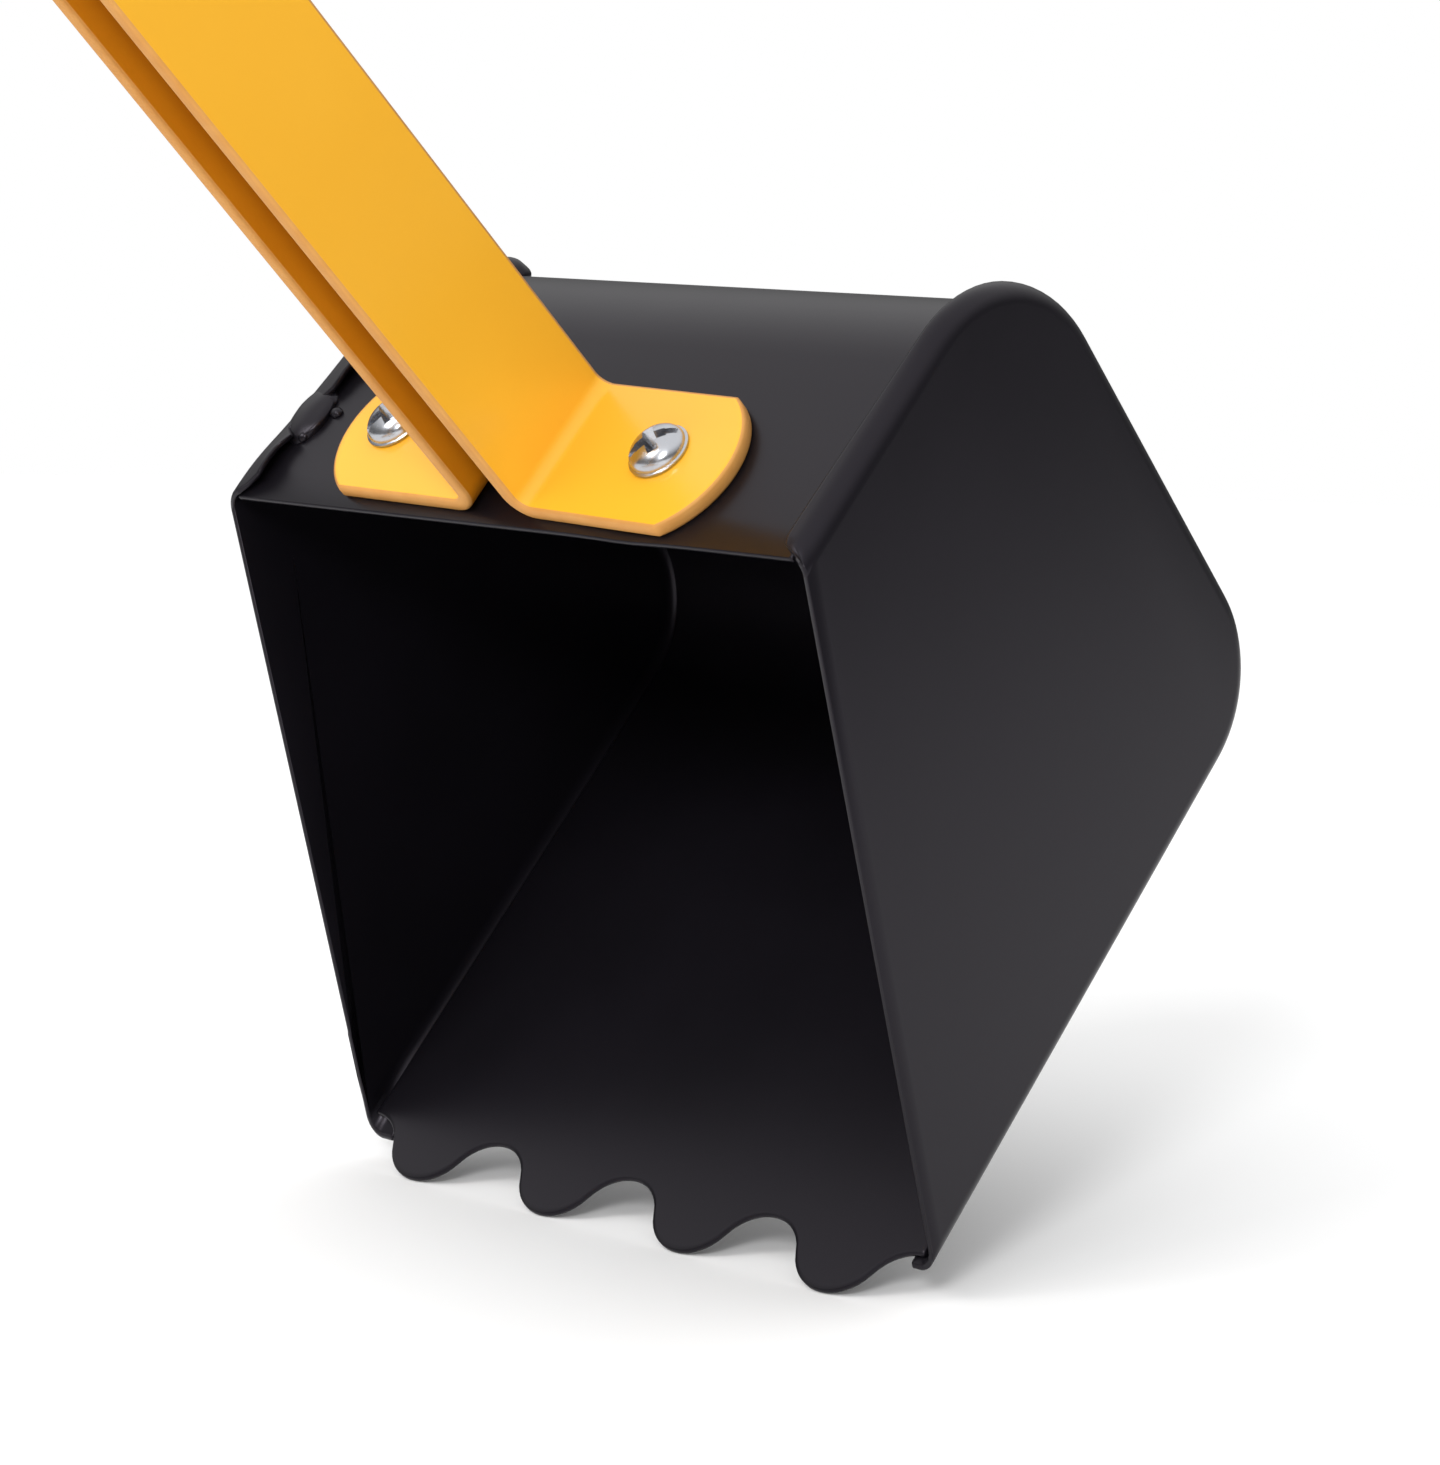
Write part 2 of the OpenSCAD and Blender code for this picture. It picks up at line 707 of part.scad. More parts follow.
// Side view of what is cut from the wings, so that they fade out to the front and to the top
module wing_cut() {
  full = wing_rise + cut - wing_low;
  steps = [for (i = [0:arc_n]) i / arc_n];
  over = 2 * wing_fade;
  from = pan_front - seat_t;
  plate(-seat_w, seat_w) polygon(concat(
    [for (a = [0:10:roll_sweep + 10]) roll_point(roll_sweep + 20 - a, wing_low)],
    [for (t = steps) [from - wing_fade * t, pan_z + wing_low + full * (1 - cos(180 * t)) / 2]],
    [for (t = steps) back_point(back_len * t, wing_low + full * (1 + cos(180 * t)) / 2)],
    [back_point(back_len + over, wing_low), back_point(back_len + over, over)],
    [[pan_front + over, pan_z + over], [pan_front + over, pan_z - over]]
  ));
}

// What is cut from a square corner that points to +X and +Y, to leave a round one
module corner_cut(x, y, r, low, high) {
  translate([x - r, y - r, low]) difference() {
    cube([2 * r, 2 * r, high - low]);
    translate([0, 0, -cut]) cylinder(r = r, h = high - low + 2 * cut);
  }
}

module seat() {
  half = seat_w / 2 - wing_r / 2;
  front = roll_point(roll_sweep, 0)[0];
  color(black_plastic) difference() {
    union() {
      seat_sweep();
      for (x = [-boss_x, boss_x], y = [-boss_y, boss_y])
        translate([seat_mid + x, y, seat_z]) cylinder(r = boss_r, h = boss_h + boss_root);
    }
    wing_cut();
    for (side = [0, 1]) mirror([0, side, 0]) {
      corner_cut(front + cut, half, seat_corner_r, pan_z - 2 * roll_r, pan_z + roll_r);
      translate([hip_at[0], 0, hip_at[1]]) rotate([0, hip_sweep, 0]) mirror([1, 0, 0])
        corner_cut(back_len + cut, half, seat_corner_r, -hip_r - roll_r, -hip_r + wing_rise);
    }
    for (x = [-boss_x, boss_x], y = [-boss_y, boss_y]) translate([seat_mid + x, y, seat_z - cut])
      cylinder(r = seat_bolt_r + play_screw, h = boss_h + cut);
  }
}

module seat_bolts() {
  color(zinc) for (x = [-boss_x, boss_x], y = [-boss_y, boss_y])
    translate([seat_mid + x, y, seat_z - bracket_t]) {
      translate([0, 0, -head_h]) cylinder(r = seat_bolt_r * hex_ratio, h = head_h, $fn = 6);
      cylinder(r = seat_bolt_r, h = bracket_t + boss_h - boss_root);
    }
}

// Footrest

module footrest_stem() {
  low = foot_z - tube_r - stem_below;
  high = beam_top - beam_h;
  color(yellow) difference() {
    translate([foot_x - stem_x, -stem_y, low]) cube([2 * stem_x, 2 * stem_y, high - low]);
    translate([foot_x - stem_x + beam_wall, -stem_y + beam_wall, low - cut])
      cube([2 * (stem_x - beam_wall), 2 * (stem_y - beam_wall), high - low + 2 * cut]);
    plate(-stem_y - cut, stem_y + cut) dot([foot_x, foot_z], tube_r + play_fixed);
  }
}

module footrest_bar() {
  color(yellow) translate([foot_x, foot_half, foot_z]) rotate([90, 0, 0])
    tube(tube_r, tube_wall, 2 * foot_half);
}

module footrest_sleeves() {
  rib = foot_sleeve / (2 * rubber_ribs + 1);
  bore = tube_r + play_fixed;
  body = tube_r + rubber_t;
  color(black_plastic) for (side = [0, 1]) mirror([0, side, 0])
    translate([foot_x, foot_half + rubber_t, foot_z]) rotate([90, 0, 0]) rotate_extrude() union() {
      square([body, rubber_t]);
      translate([bore, 0]) square([body - bore, foot_sleeve]);
      for (i = [1:rubber_ribs]) translate([bore, (2 * i - 1) * rib])
        square([body + rib_h - bore, rib]);
    }
}

// Boom and its lever

module boom_bar_outline() {
  difference() {
    bar_outline(boom_pivot, elbow, bar_w / 2);
    dot(boom_pivot, bolt_r + play_turn);
    dot(elbow, bolt_r + play_fixed);
  }
}

module lever_bolt_holes(r) {
  for (k = [-1, 1]) dot(lever_seat + k * lever_bolt_step * boom_dir, r);
}

module boom_bar_left() {
  color(yellow) plate(boom_in, boom_out) difference() {
    boom_bar_outline();
    lever_bolt_holes(lever_bolt_r + play_fixed);
  }
}

module boom_bar_right() {
  color(yellow) plate(-boom_out, -boom_in) boom_bar_outline();
}

// Plate that joins the boom lever's tube to the left boom bar
module boom_lever_plate() {
  corner = 10;
  step = lever_bolt_step * boom_dir;
  color(yellow) plate(boom_out, boom_out + bar_t) difference() {
    gusset_outline(lever_seat - step, lever_seat + lever_plate_rise * boom_lever_dir,
      lever_seat + step, corner);
    lever_bolt_holes(lever_bolt_r + play_fixed);
  }
}

// Low-headed bolts with thin nuts, kept clear of the stick lever's plates
module boom_lever_bolts() {
  head_t = 3;
  color(zinc) for (k = [-1, 1]) {
    p = lever_seat + k * lever_bolt_step * boom_dir;
    plate(boom_out + bar_t, boom_out + bar_t + head_t) dot(p, lever_bolt_r * hex_ratio);
    plate(boom_in, boom_out + bar_t) dot(p, lever_bolt_r);
  }
}

// Places a lever's children at its foot, leaning back from the upright
module lever_place(foot, lean, y) {
  translate([foot[0], y, foot[1]]) rotate([0, -lean, 0]) children();
}

module boom_lever_tube() {
  color(yellow) lever_place(lever_seat, boom_lever_lean, boom_lever_y)
    lever_path(boom_lever_low, boom_lever_kink, boom_lever_offset, lever_high);
}

module boom_lever_grip() {
  lever_place(lever_seat, boom_lever_lean, grip_y)
    translate([0, 0, boom_lever_run - grip_len]) grip();
}

module elbow_bolt() {
  cross_bolt(elbow, boom_out);
}

module elbow_nut() {
  cross_nut(elbow, boom_out);
}

module elbow_washers() {
  color(nylon) washer_pair(elbow, stick_out + face_gap, boom_in, washer_r, bolt_r + play_turn);
}

module lever_washers() {
  color(nylon) washer_pair(boom_pivot, stick_out + face_gap, boom_in, washer_r, bolt_r + play_turn);
}

// Stick lever

module stick_lever_holes() {
  dot(boom_pivot, bolt_r + play_turn);
  dot(link_rear, bolt_r + play_fixed);
}

// The link passes the lever's foot, so only the right plate rises to carry the tube
module stick_lever_plate_left() {
  color(yellow) plate(stick_in, stick_out) difference() {
    bar_outline(boom_pivot, link_rear, lever_plate_r);
    stick_lever_holes();
  }
}

module stick_lever_plate_right() {
  color(yellow) plate(-stick_out, -stick_in) difference() {
    gusset_outline(boom_pivot, link_rear, lever_tip, lever_plate_r);
    stick_lever_holes();
  }
}

module stick_lever_spacer() {
  color(zinc) plate(-stick_in, stick_in) difference() {
    dot(boom_pivot, bolt_r + spacer_wall);
    dot(boom_pivot, bolt_r + play_turn);
  }
}

// Tube that lies against the right plate's outer face
module stick_lever_tube() {
  color(yellow) lever_place(lever_foot, stick_lever_lean, -stick_lever_y) mirror([0, 1, 0])
    lever_path(stick_lever_low, stick_lever_kink, stick_lever_offset, lever_high);
}

module stick_lever_grip() {
  lever_place(lever_foot, stick_lever_lean, -grip_y)
    translate([0, 0, stick_lever_run - grip_len]) grip();
}

module link_rear_bolt() {
  cross_bolt(link_rear, stick_out);
}

module link_rear_nut() {
  cross_nut(link_rear, stick_out);
}

// Link

module link_bar() {
  color(yellow) plate(-link_t / 2, link_t / 2) difference() {
    bar_outline(link_rear, link_front, link_w / 2);
    dot(link_rear, bolt_r + play_turn);
    dot(link_front, bolt_r + play_open);
  }
}

module link_washers() {
  r = link_w / 2 - washer_t;
  color(nylon) for (p = [link_rear, link_front])
    washer_pair(p, link_t / 2, stick_in - face_gap, r, bolt_r + play_open);
}

// Stick, in the bucket's own frame: x along the top plate, z up from it

module in_bucket() {
  translate([bucket_at[0], 0, bucket_at[1]]) rotate([0, -bucket_tilt, 0]) children();
}

// Folded section of a stick bar's foot: y sideways and z up, from the inner face outwards
module foot_section(reach) {
  outer = foot_bend + bar_t;
  centre = [stick_in + outer, outer];
  polygon(concat(
    [[stick_in, outer]],
    arc(centre, outer, 180, 270),
    [[reach, 0], [reach, bar_t]],
    arc(centre, foot_bend, 270, 180),
    [[stick_out, outer]]
  ));
}

module stick_bar(side) {
  outer = foot_bend + bar_t;
  end = foot_screw_y + foot_end_r;
  foot = [foot_mid, outer];
  head = [foot_mid, stick_len];
  tip = [foot_mid, stick_len + link_arm];
  color(yellow) in_bucket() mirror([0, side, 0]) {
    plate(stick_in, stick_out) difference() {
      union() {
        translate([bar_set, outer]) square([bar_w, stick_len + link_arm - outer]);
        dot(tip, bar_w / 2);
      }
      dot(head, bolt_r + play_turn);
      dot(tip, bolt_r + play_fixed);
    }
    difference() {
      translate([bar_set, 0, 0]) rotate([90, 0, 90]) linear_extrude(height = bar_w)
        foot_section(end);
      foot_round();
      translate([foot_mid, foot_screw_y, -cut])
        cylinder(r = screw_r + play_screw, h = bar_t + 2 * cut);
    }
  }
}

// What is cut from a foot's square end to leave its round one
module foot_round() {
  translate([foot_mid, foot_screw_y, -cut]) difference() {
    translate([-bar_w, 0, 0]) cube([2 * bar_w, foot_end_r + cut, bar_t + 2 * cut]);
    translate([0, 0, -cut]) cylinder(r = foot_end_r, h = bar_t + 4 * cut);
  }
}

module stick_bar_left() {
  stick_bar(0);
}

module stick_bar_right() {
  stick_bar(1);
}

module elbow_spacer() {
  color(zinc) plate(-stick_in, stick_in) difference() {
    dot(elbow, bolt_r + spacer_wall);
    dot(elbow, bolt_r + play_turn);
  }
}

module link_front_bolt() {
  cross_bolt(link_front, stick_out);
}

module link_front_nut() {
  cross_nut(link_front, stick_out);
}

// Bucket

// One sheet folded from the top plate over the back to the floor
module shell_profile() {
  ahead = mouth_low - [tooth_ahead, 0];
  outer = concat(
    [mouth_top],
    round_pts(mouth_top, top_corner, low_corner, bend_top, bend_top),
    round_pts(top_corner, low_corner, mouth_low, bend_low, bend_low),
    [ahead]
  );
  inner = concat(
    [ahead + [0, sheet_t]],
    rev(round_pts(top_corner, low_corner, mouth_low, bend_low, bend_low - sheet_t)),
    rev(round_pts(mouth_top, top_corner, low_corner, bend_top, bend_top - sheet_t)),
    [mouth_top - [0, sheet_t]]
  );
  polygon(concat(outer, inner));
}

// Wave of the digging edge as x and y, from the right wall to the left one
function tooth_wave() =
  let (
    tip_mid = mouth_low[0] - tooth_ahead + tooth_arc,
    root_mid = tooth_root - tooth_arc,
    flank = atan2(tooth_pitch / 2, tip_mid - root_mid)
  )
  [for (k = [0:tooth_count - 1]) let (y = (k + 0.5) * tooth_pitch - shell_half) each concat(
    open_arc([root_mid, y - tooth_pitch / 2], tooth_arc, 0, flank, arc_n / 2),
    open_arc([tip_mid, y], tooth_arc, 180 + flank, 180 - flank, arc_n),
    open_arc([root_mid, y + tooth_pitch / 2], tooth_arc, -flank, 0, arc_n / 2)
  )];

// What is cut from the floor's front edge between and beside the scallops
module tooth_gaps() {
  ahead = mouth_low[0] - tooth_ahead - cut;
  translate([0, 0, -bucket_depth - cut]) linear_extrude(height = sheet_t + 2 * cut)
    polygon(concat(
      [[ahead, -shell_half - cut], [tooth_root, -shell_half - cut]],
      tooth_wave(),
      [[tooth_root, shell_half], [tooth_root, shell_half + cut], [ahead, shell_half + cut]]
    ));
}

module bucket_shell() {
  color(black_steel) in_bucket() difference() {
    plate(-shell_half, shell_half) shell_profile();
    tooth_gaps();
    for (side = [-1, 1]) translate([foot_mid, side * foot_screw_y, -sheet_t - cut])
      cylinder(r = screw_r + play_screw, h = sheet_t + 2 * cut);
  }
}

// Section of the rolled rim: x outwards from the shell's outer face, y in from the side
module rim_section(inset = 0) {
  centre = [rim_centre, sheet_t + rim_r];
  polygon(concat(
    [[rim_centre - lap, sheet_t - inset]],
    arc(centre, rim_r + inset, 270, 360, rim_n),
    [[rim_gap + inset, rim_w - inset], [rim_out - inset, rim_w - inset]],
    arc(centre, rim_r + sheet_t - inset, 360, 270, rim_n),
    [[rim_centre - lap, inset]]
  ));
}

// Rim along a straight edge, on its left
module rim_edge(p, q, skip_p, skip_q) {
  translate(p) rotate([0, 0, heading(p, q)]) translate([skip_p, 0, 0]) rotate([90, 0, 90])
    linear_extrude(height = norm(q - p) - skip_p - skip_q) rim_section();
}

// Rim round a bend, a little into the straight edges on both sides
module rim_bend(p, q, s, r) {
  into = lap_turn(r);
  sweep = turn(p, q, s) + 2 * into;
  translate(round_centre(p, q, s, r)) rotate([0, 0, heading(p, q) + 90 + into - sweep])
    rotate_extrude(angle = sweep) translate([r, 0]) rim_section(lap_step);
}

// Side plate drawn flat: its outer face lies at zero and the rim turns towards +Z
module side_plate() {
  edge = rim_centre - lap / 2;
  // The straight rims run half a lap past where the bends begin
  skip_top = skip(mouth_top, top_corner, low_corner, bend_top) - lap / 2;
  skip_low = skip(top_corner, low_corner, mouth_low, bend_low) - lap / 2;
  over = 2 * rim_out;
  difference() {
    union() {
      linear_extrude(height = sheet_t) polygon(concat(
        [[-over, edge]],
        round_pts(mouth_top, top_corner, low_corner, bend_top, bend_top + edge),
        round_pts(top_corner, low_corner, mouth_low, bend_low, bend_low + edge),
        [[mouth_low[0] - over, -bucket_depth - edge]]
      ));
      rim_edge(mouth_top, top_corner, -over, skip_top);
      rim_bend(mouth_top, top_corner, low_corner, bend_top);
      rim_edge(top_corner, low_corner, skip_top, skip_low);
      rim_bend(top_corner, low_corner, mouth_low, bend_low);
      rim_edge(low_corner, mouth_low, skip_low, -over);
    }
    mouth_cut();
  }
}

// Everything ahead of the mouth line
module mouth_cut() {
  big = 2 * bucket_depth;
  rotate([0, 0, heading(mouth_low, mouth_top)]) translate([-big, 0, -cut])
    cube([2 * big, big, rim_w + 2 * cut]);
}

module bucket_side_left() {
  color(black_steel) in_bucket() translate([0, side_half, 0]) rotate([90, 0, 0]) side_plate();
}

module bucket_side_right() {
  color(black_steel) in_bucket() mirror([0, 1, 0]) translate([0, side_half, 0])
    rotate([90, 0, 0]) side_plate();
}

// Pan-headed screws through the feet and the top plate
module bucket_screws() {
  shank = 14;
  dome = (screw_head_r * screw_head_r + screw_head_h * screw_head_h) / (2 * screw_head_h);
  color(zinc) in_bucket() for (side = [-1, 1])
    translate([foot_mid, side * foot_screw_y, bar_t]) {
      rotate_extrude() intersection() {
        translate([0, screw_head_h - dome]) circle(r = dome);
        square([screw_head_r, screw_head_h]);
      }
      translate([0, 0, -shank]) cylinder(r = screw_r, h = shank);
    }
}

module bucket_nuts() {
  nut_r = 5.77;
  thick = 5;
  color(zinc) in_bucket() for (side = [-1, 1])
    translate([foot_mid, side * foot_screw_y, -sheet_t - thick]) difference() {
      cylinder(r = nut_r, h = thick, $fn = 6);
      translate([0, 0, -cut]) cylinder(r = screw_r + play_fixed, h = thick + 2 * cut);
    }
}

base_plate();
leg(leg_turns[0]);  // leg_front_left
leg(leg_turns[1]);  // leg_front_right
leg(leg_turns[2]);  // leg_rear_left
leg(leg_turns[3]);  // leg_rear_right
leg_end_caps();
post();
post_collar();
post_plug();
post_washer();
post_bolt();
turning_sleeve();
lower_bush();
upper_bush();
main_beam();
beam_end_caps();
boom_bracket();
boom_bracket_bolts();
boom_pivot_bolt();
boom_pivot_nut();
boom_pivot_washers();
seat_bracket();
seat_bracket_bolts();
seat();
seat_bolts();
footrest_stem();
footrest_bar();
footrest_sleeves();
boom_bar_left();
boom_bar_right();
boom_lever_plate();
boom_lever_bolts();
boom_lever_tube();
boom_lever_grip();
elbow_bolt();
elbow_nut();
elbow_washers();
lever_washers();
stick_lever_plate_left();
stick_lever_plate_right();
stick_lever_spacer();
stick_lever_tube();
stick_lever_grip();
link_rear_bolt();
link_rear_nut();
link_bar();
link_washers();
stick_bar_left();
stick_bar_right();
elbow_spacer();
link_front_bolt();
link_front_nut();
bucket_shell();
bucket_side_left();
bucket_side_right();
bucket_screws();
bucket_nuts();
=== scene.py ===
# %% [markdown]
# # Ride-on sand digger
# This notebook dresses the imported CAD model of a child's ride-on sand digger. The photograph is a
# close-up of its bucket and of the foot of its stick, so those get the most care. Every piece is
# made in metres in the digger's own frame, where +X points to the bucket and +Z is up, so that
# nothing has to be fitted to the CAD afterwards.

# %% Load the frame
import json
import math

import bmesh
import bpy
from mathutils import Matrix, Vector, noise

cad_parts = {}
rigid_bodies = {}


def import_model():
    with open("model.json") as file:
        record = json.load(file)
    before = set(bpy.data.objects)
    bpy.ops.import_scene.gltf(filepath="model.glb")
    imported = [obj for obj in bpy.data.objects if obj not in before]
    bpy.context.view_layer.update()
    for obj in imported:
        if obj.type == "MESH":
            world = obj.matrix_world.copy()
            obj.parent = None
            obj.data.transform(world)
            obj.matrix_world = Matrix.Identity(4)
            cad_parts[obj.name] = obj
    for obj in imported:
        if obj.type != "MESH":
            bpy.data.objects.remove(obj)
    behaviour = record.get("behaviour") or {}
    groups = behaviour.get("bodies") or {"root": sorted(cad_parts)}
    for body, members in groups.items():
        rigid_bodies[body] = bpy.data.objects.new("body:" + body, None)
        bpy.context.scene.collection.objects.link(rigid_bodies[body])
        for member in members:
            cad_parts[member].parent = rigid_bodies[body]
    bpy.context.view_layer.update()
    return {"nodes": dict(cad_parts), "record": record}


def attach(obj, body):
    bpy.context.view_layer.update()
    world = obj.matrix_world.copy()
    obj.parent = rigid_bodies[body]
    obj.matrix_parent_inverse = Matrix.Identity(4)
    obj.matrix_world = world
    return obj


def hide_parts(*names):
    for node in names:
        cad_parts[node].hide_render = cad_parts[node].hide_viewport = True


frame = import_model()
nodes = frame["nodes"]

# %% [markdown]
# ## Camera
# A product photograph like this one is taken with a long lens from a little above the bucket,
# slightly from its right. The place, turn and lens below come from matching the bucket's corners,
# scallops and rims in the photograph with the same points of the CAD model.

# %% Place the camera
MM = 0.001
camera_data = bpy.data.cameras.new("camera")
camera_data.sensor_width = 36.0
camera_data.lens = 103.138
camera_data.shift_x = 0.0153
camera_data.shift_y = 0.01688
camera_data.clip_end = 200.0
camera = bpy.data.objects.new("camera", camera_data)
camera.location = Vector((116.158, -581.018, 236.119)) * MM
camera.rotation_euler = [math.radians(a) for a in (80.2939, 0.223, -45.8032)]
bpy.context.scene.collection.objects.link(camera)
bpy.context.scene.camera = camera
print("camera stands at", [round(v, 3) for v in camera.location])

# %% [markdown]
# ## Nodes
# Materials, the sky and Geometry Nodes are all trees of nodes. One small function adds a node to
# any of them, sets its values and links its inputs. Colours are written as sRGB hex values, as a
# maker's colour card gives them, and one function turns them to the linear values Blender uses.


# %% Helpers for colours, nodes and finished meshes
def hex_to_linear(code):
    """An sRGB colour such as f6b22d as the linear values that Blender works with."""
    out = []
    for i in (0, 2, 4):
        c = int(code[i:i + 2], 16) / 255
        out.append(c / 12.92 if c <= 0.04045 else ((c + 0.055) / 1.055) ** 2.4)
    return (*out, 1.0)


def add(tree, kind, inputs=None, **settings):
    """Adds a node. An input takes a value, a node's first output, or a (node, output) pair."""
    made = tree.nodes.new(kind)
    for key, value in settings.items():
        setattr(made, key, value)
    for key, value in (inputs or {}).items():
        source, output = value[:2] if isinstance(value, tuple) else (value, 0)
        if isinstance(source, bpy.types.Node):
            tree.links.new(source.outputs[output], made.inputs[key])
        else:
            made.inputs[key].default_value = value
    return made


def keep_mesh(name, bm, body=None):
    """A finished object from a bmesh, at the origin, on a CAD body."""
    mesh = bpy.data.meshes.new(name)
    bm.to_mesh(mesh)
    bm.free()
    piece = bpy.data.objects.new(name, mesh)
    bpy.context.scene.collection.objects.link(piece)
    if body:
        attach(piece, body)
    return piece


print("a yellow in linear values:", [round(v, 3) for v in hex_to_linear("f6b22d")])

# %% [markdown]
# ## Floor and light
# The photograph has a plain white ground and soft light from the upper left. A large pale disc is
# the floor. The sky is brighter overhead than at the horizon, as in a tent of white cloth, because
# black paint shows little but what it mirrors: its upper faces turn grey and its sides stay dark.
# The horizon is dark in mirrored light and white only to the camera, like the black flags that a
# photographer sets beside shiny things. A soft lamp at the upper left lights the screwed feet, and
# a smaller one stands behind the camera and puts a glint on the round edges.

# %% Make the floor, the sky and the lamps
FLOOR_RADIUS, FLOOR_TONE = 2.0, 0.94
SKY_LOW, SKY_HIGH = 0.2, 1.25
BUCKET_MID = Vector((0.69, 0.0, 0.12))

floor_bm = bmesh.new()
bmesh.ops.create_circle(floor_bm, cap_ends=True, segments=96, radius=FLOOR_RADIUS)
floor = keep_mesh("floor", floor_bm)
pale_floor = bpy.data.materials.new("pale_matt_board")
pale_floor.use_nodes = True
board = pale_floor.node_tree.nodes["Principled BSDF"]
board.inputs["Base Color"].default_value = (FLOOR_TONE, FLOOR_TONE, FLOOR_TONE, 1.0)
board.inputs["Roughness"].default_value = 0.9
board.inputs["Specular IOR Level"].default_value = 0.1
floor.data.materials.append(pale_floor)

world = bpy.data.worlds.new("studio")
world.use_nodes = True
tent = world.node_tree
tent.nodes.clear()
way = add(tent, "ShaderNodeTexCoord")
split = add(tent, "ShaderNodeSeparateXYZ", {"Vector": (way, "Generated")})
rise = add(tent, "ShaderNodeMapRange", {"Value": (split, "Z"), "From Min": 0.2, "From Max": 0.7,
                                       "To Min": SKY_LOW, "To Max": SKY_HIGH})
ray = add(tent, "ShaderNodeLightPath")
strength = add(tent, "ShaderNodeMix", {0: (ray, "Is Camera Ray"), 2: rise, 3: 1.0})
cloth = add(tent, "ShaderNodeBackground", {"Color": (1.0, 1.0, 1.0, 1.0), "Strength": strength})
add(tent, "ShaderNodeOutputWorld", {"Surface": cloth})
bpy.context.scene.world = world
bpy.context.scene.view_settings.view_transform = "Standard"

for name, place, size, power in (("left_lamp", (-0.9, 0.35, 1.35), 0.7, 15.0),
                                 ("camera_lamp", (-0.77, -0.9, 0.97), 0.4, 16.0)):
    light = bpy.data.lights.new(name, "AREA")
    light.size = size
    light.energy = power
    lamp = bpy.data.objects.new(name, light)
    lamp.location = place
    lamp.rotation_euler = (BUCKET_MID - Vector(place)).to_track_quat("-Z", "Y").to_euler()
    bpy.context.scene.collection.objects.link(lamp)

# %% [markdown]
# ## Finishes
# Steel outdoor toys are welded or bolted from plain sheet and flat bar, then powder coated: dry
# paint is sprayed on, clings by charge and melts in an oven into a tough, slightly wavy skin. The
# waviness, called orange peel, is what tells powder coat from wet paint. A noise of about the
# wave's real length drives the bump, and a wider one shifts colour and gloss a little, because a
# flat colour looks like plastic.


# %% Powder coats
def new_finish(name):
    """An empty material, its tree, and a node for object coordinates, which are in metres."""
    finish = bpy.data.materials.new(name)
    finish.use_nodes = True
    finish.node_tree.nodes.clear()
    return finish, finish.node_tree, add(finish.node_tree, "ShaderNodeTexCoord")


def paint_finish(name, dark, light, patch_mm, rough, peel_mm, peel_depth, shine,
                 shine_tint=(1.0, 1.0, 1.0, 1.0)):
    """Powder coat: two close colours in soft patches, and orange peel of a real wave length."""
    finish, tree, place = new_finish(name)
    patch = add(tree, "ShaderNodeTexNoise", {"Vector": (place, "Object"), "Detail": 2.0,
                                             "Scale": 1 / (patch_mm * MM)})
    tint = add(tree, "ShaderNodeValToRGB", {"Fac": patch})
    for stop, code in zip(tint.color_ramp.elements, (dark, light)):
        stop.color = hex_to_linear(code)
    peel = add(tree, "ShaderNodeTexNoise", {"Vector": (place, "Object"), "Detail": 1.0,
                                            "Scale": 1 / (peel_mm * MM)})
    wave = add(tree, "ShaderNodeBump", {"Height": peel, "Strength": 0.35,
                                        "Distance": peel_depth * MM})
    gloss = add(tree, "ShaderNodeMapRange", {"Value": patch, "To Min": rough - 0.04,
                                             "To Max": rough + 0.04})
    coat = add(tree, "ShaderNodeBsdfPrincipled", {
        "Base Color": tint, "Roughness": gloss, "Normal": wave, "IOR": 1.5,
        "Specular IOR Level": shine, "Specular Tint": shine_tint})
    add(tree, "ShaderNodeOutputMaterial", {"Surface": coat})
    return finish


# Yellow powder coat on steel: warm, quite glossy, with orange peel about 2 mm from wave to wave
yellow_powder_coat = paint_finish("yellow_powder_coat", "eaa927", "f0b332",
                                  60, 0.24, 2.2, 0.02, 0.4)
# The same on a sheared edge: the tear left by the shear draws the coat thin, dull and browner
yellow_sheared_edge = paint_finish("yellow_on_sheared_edge", "c0823a", "d09a55",
                                   6, 0.6, 0.9, 0.06, 0.3)
# The same, darker and browner, on the sides where the two bars face each other: painted shade of
# the gap
yellow_thin_coat = paint_finish("yellow_thin_coat", "b96e08", "c67d10", 20, 0.4, 2.2, 0.02, 0.3)
# Black powder coat on sheet steel: satin, so that edges shine and flat faces stay a soft charcoal,
# with the faint violet cast of carbon black
black_powder_coat = paint_finish("black_powder_coat", "0c0b0e", "121015",
                                 40, 0.3, 1.6, 0.012, 0.24, shine_tint=(0.93, 0.86, 1.0, 1.0))
print("paints:", [m.name for m in (yellow_powder_coat, yellow_sheared_edge, yellow_thin_coat,
                                   black_powder_coat)])

# %% [markdown]
# The other finishes. Zinc plate is bright and a little streaked where the screw was rolled and
# tumbled. The seat and plugs are injection moulded with a fine spark-eroded grain. Grip rubber is
# matt with a slightly dusty bloom, and the bearings are natural nylon, milky and waxy.


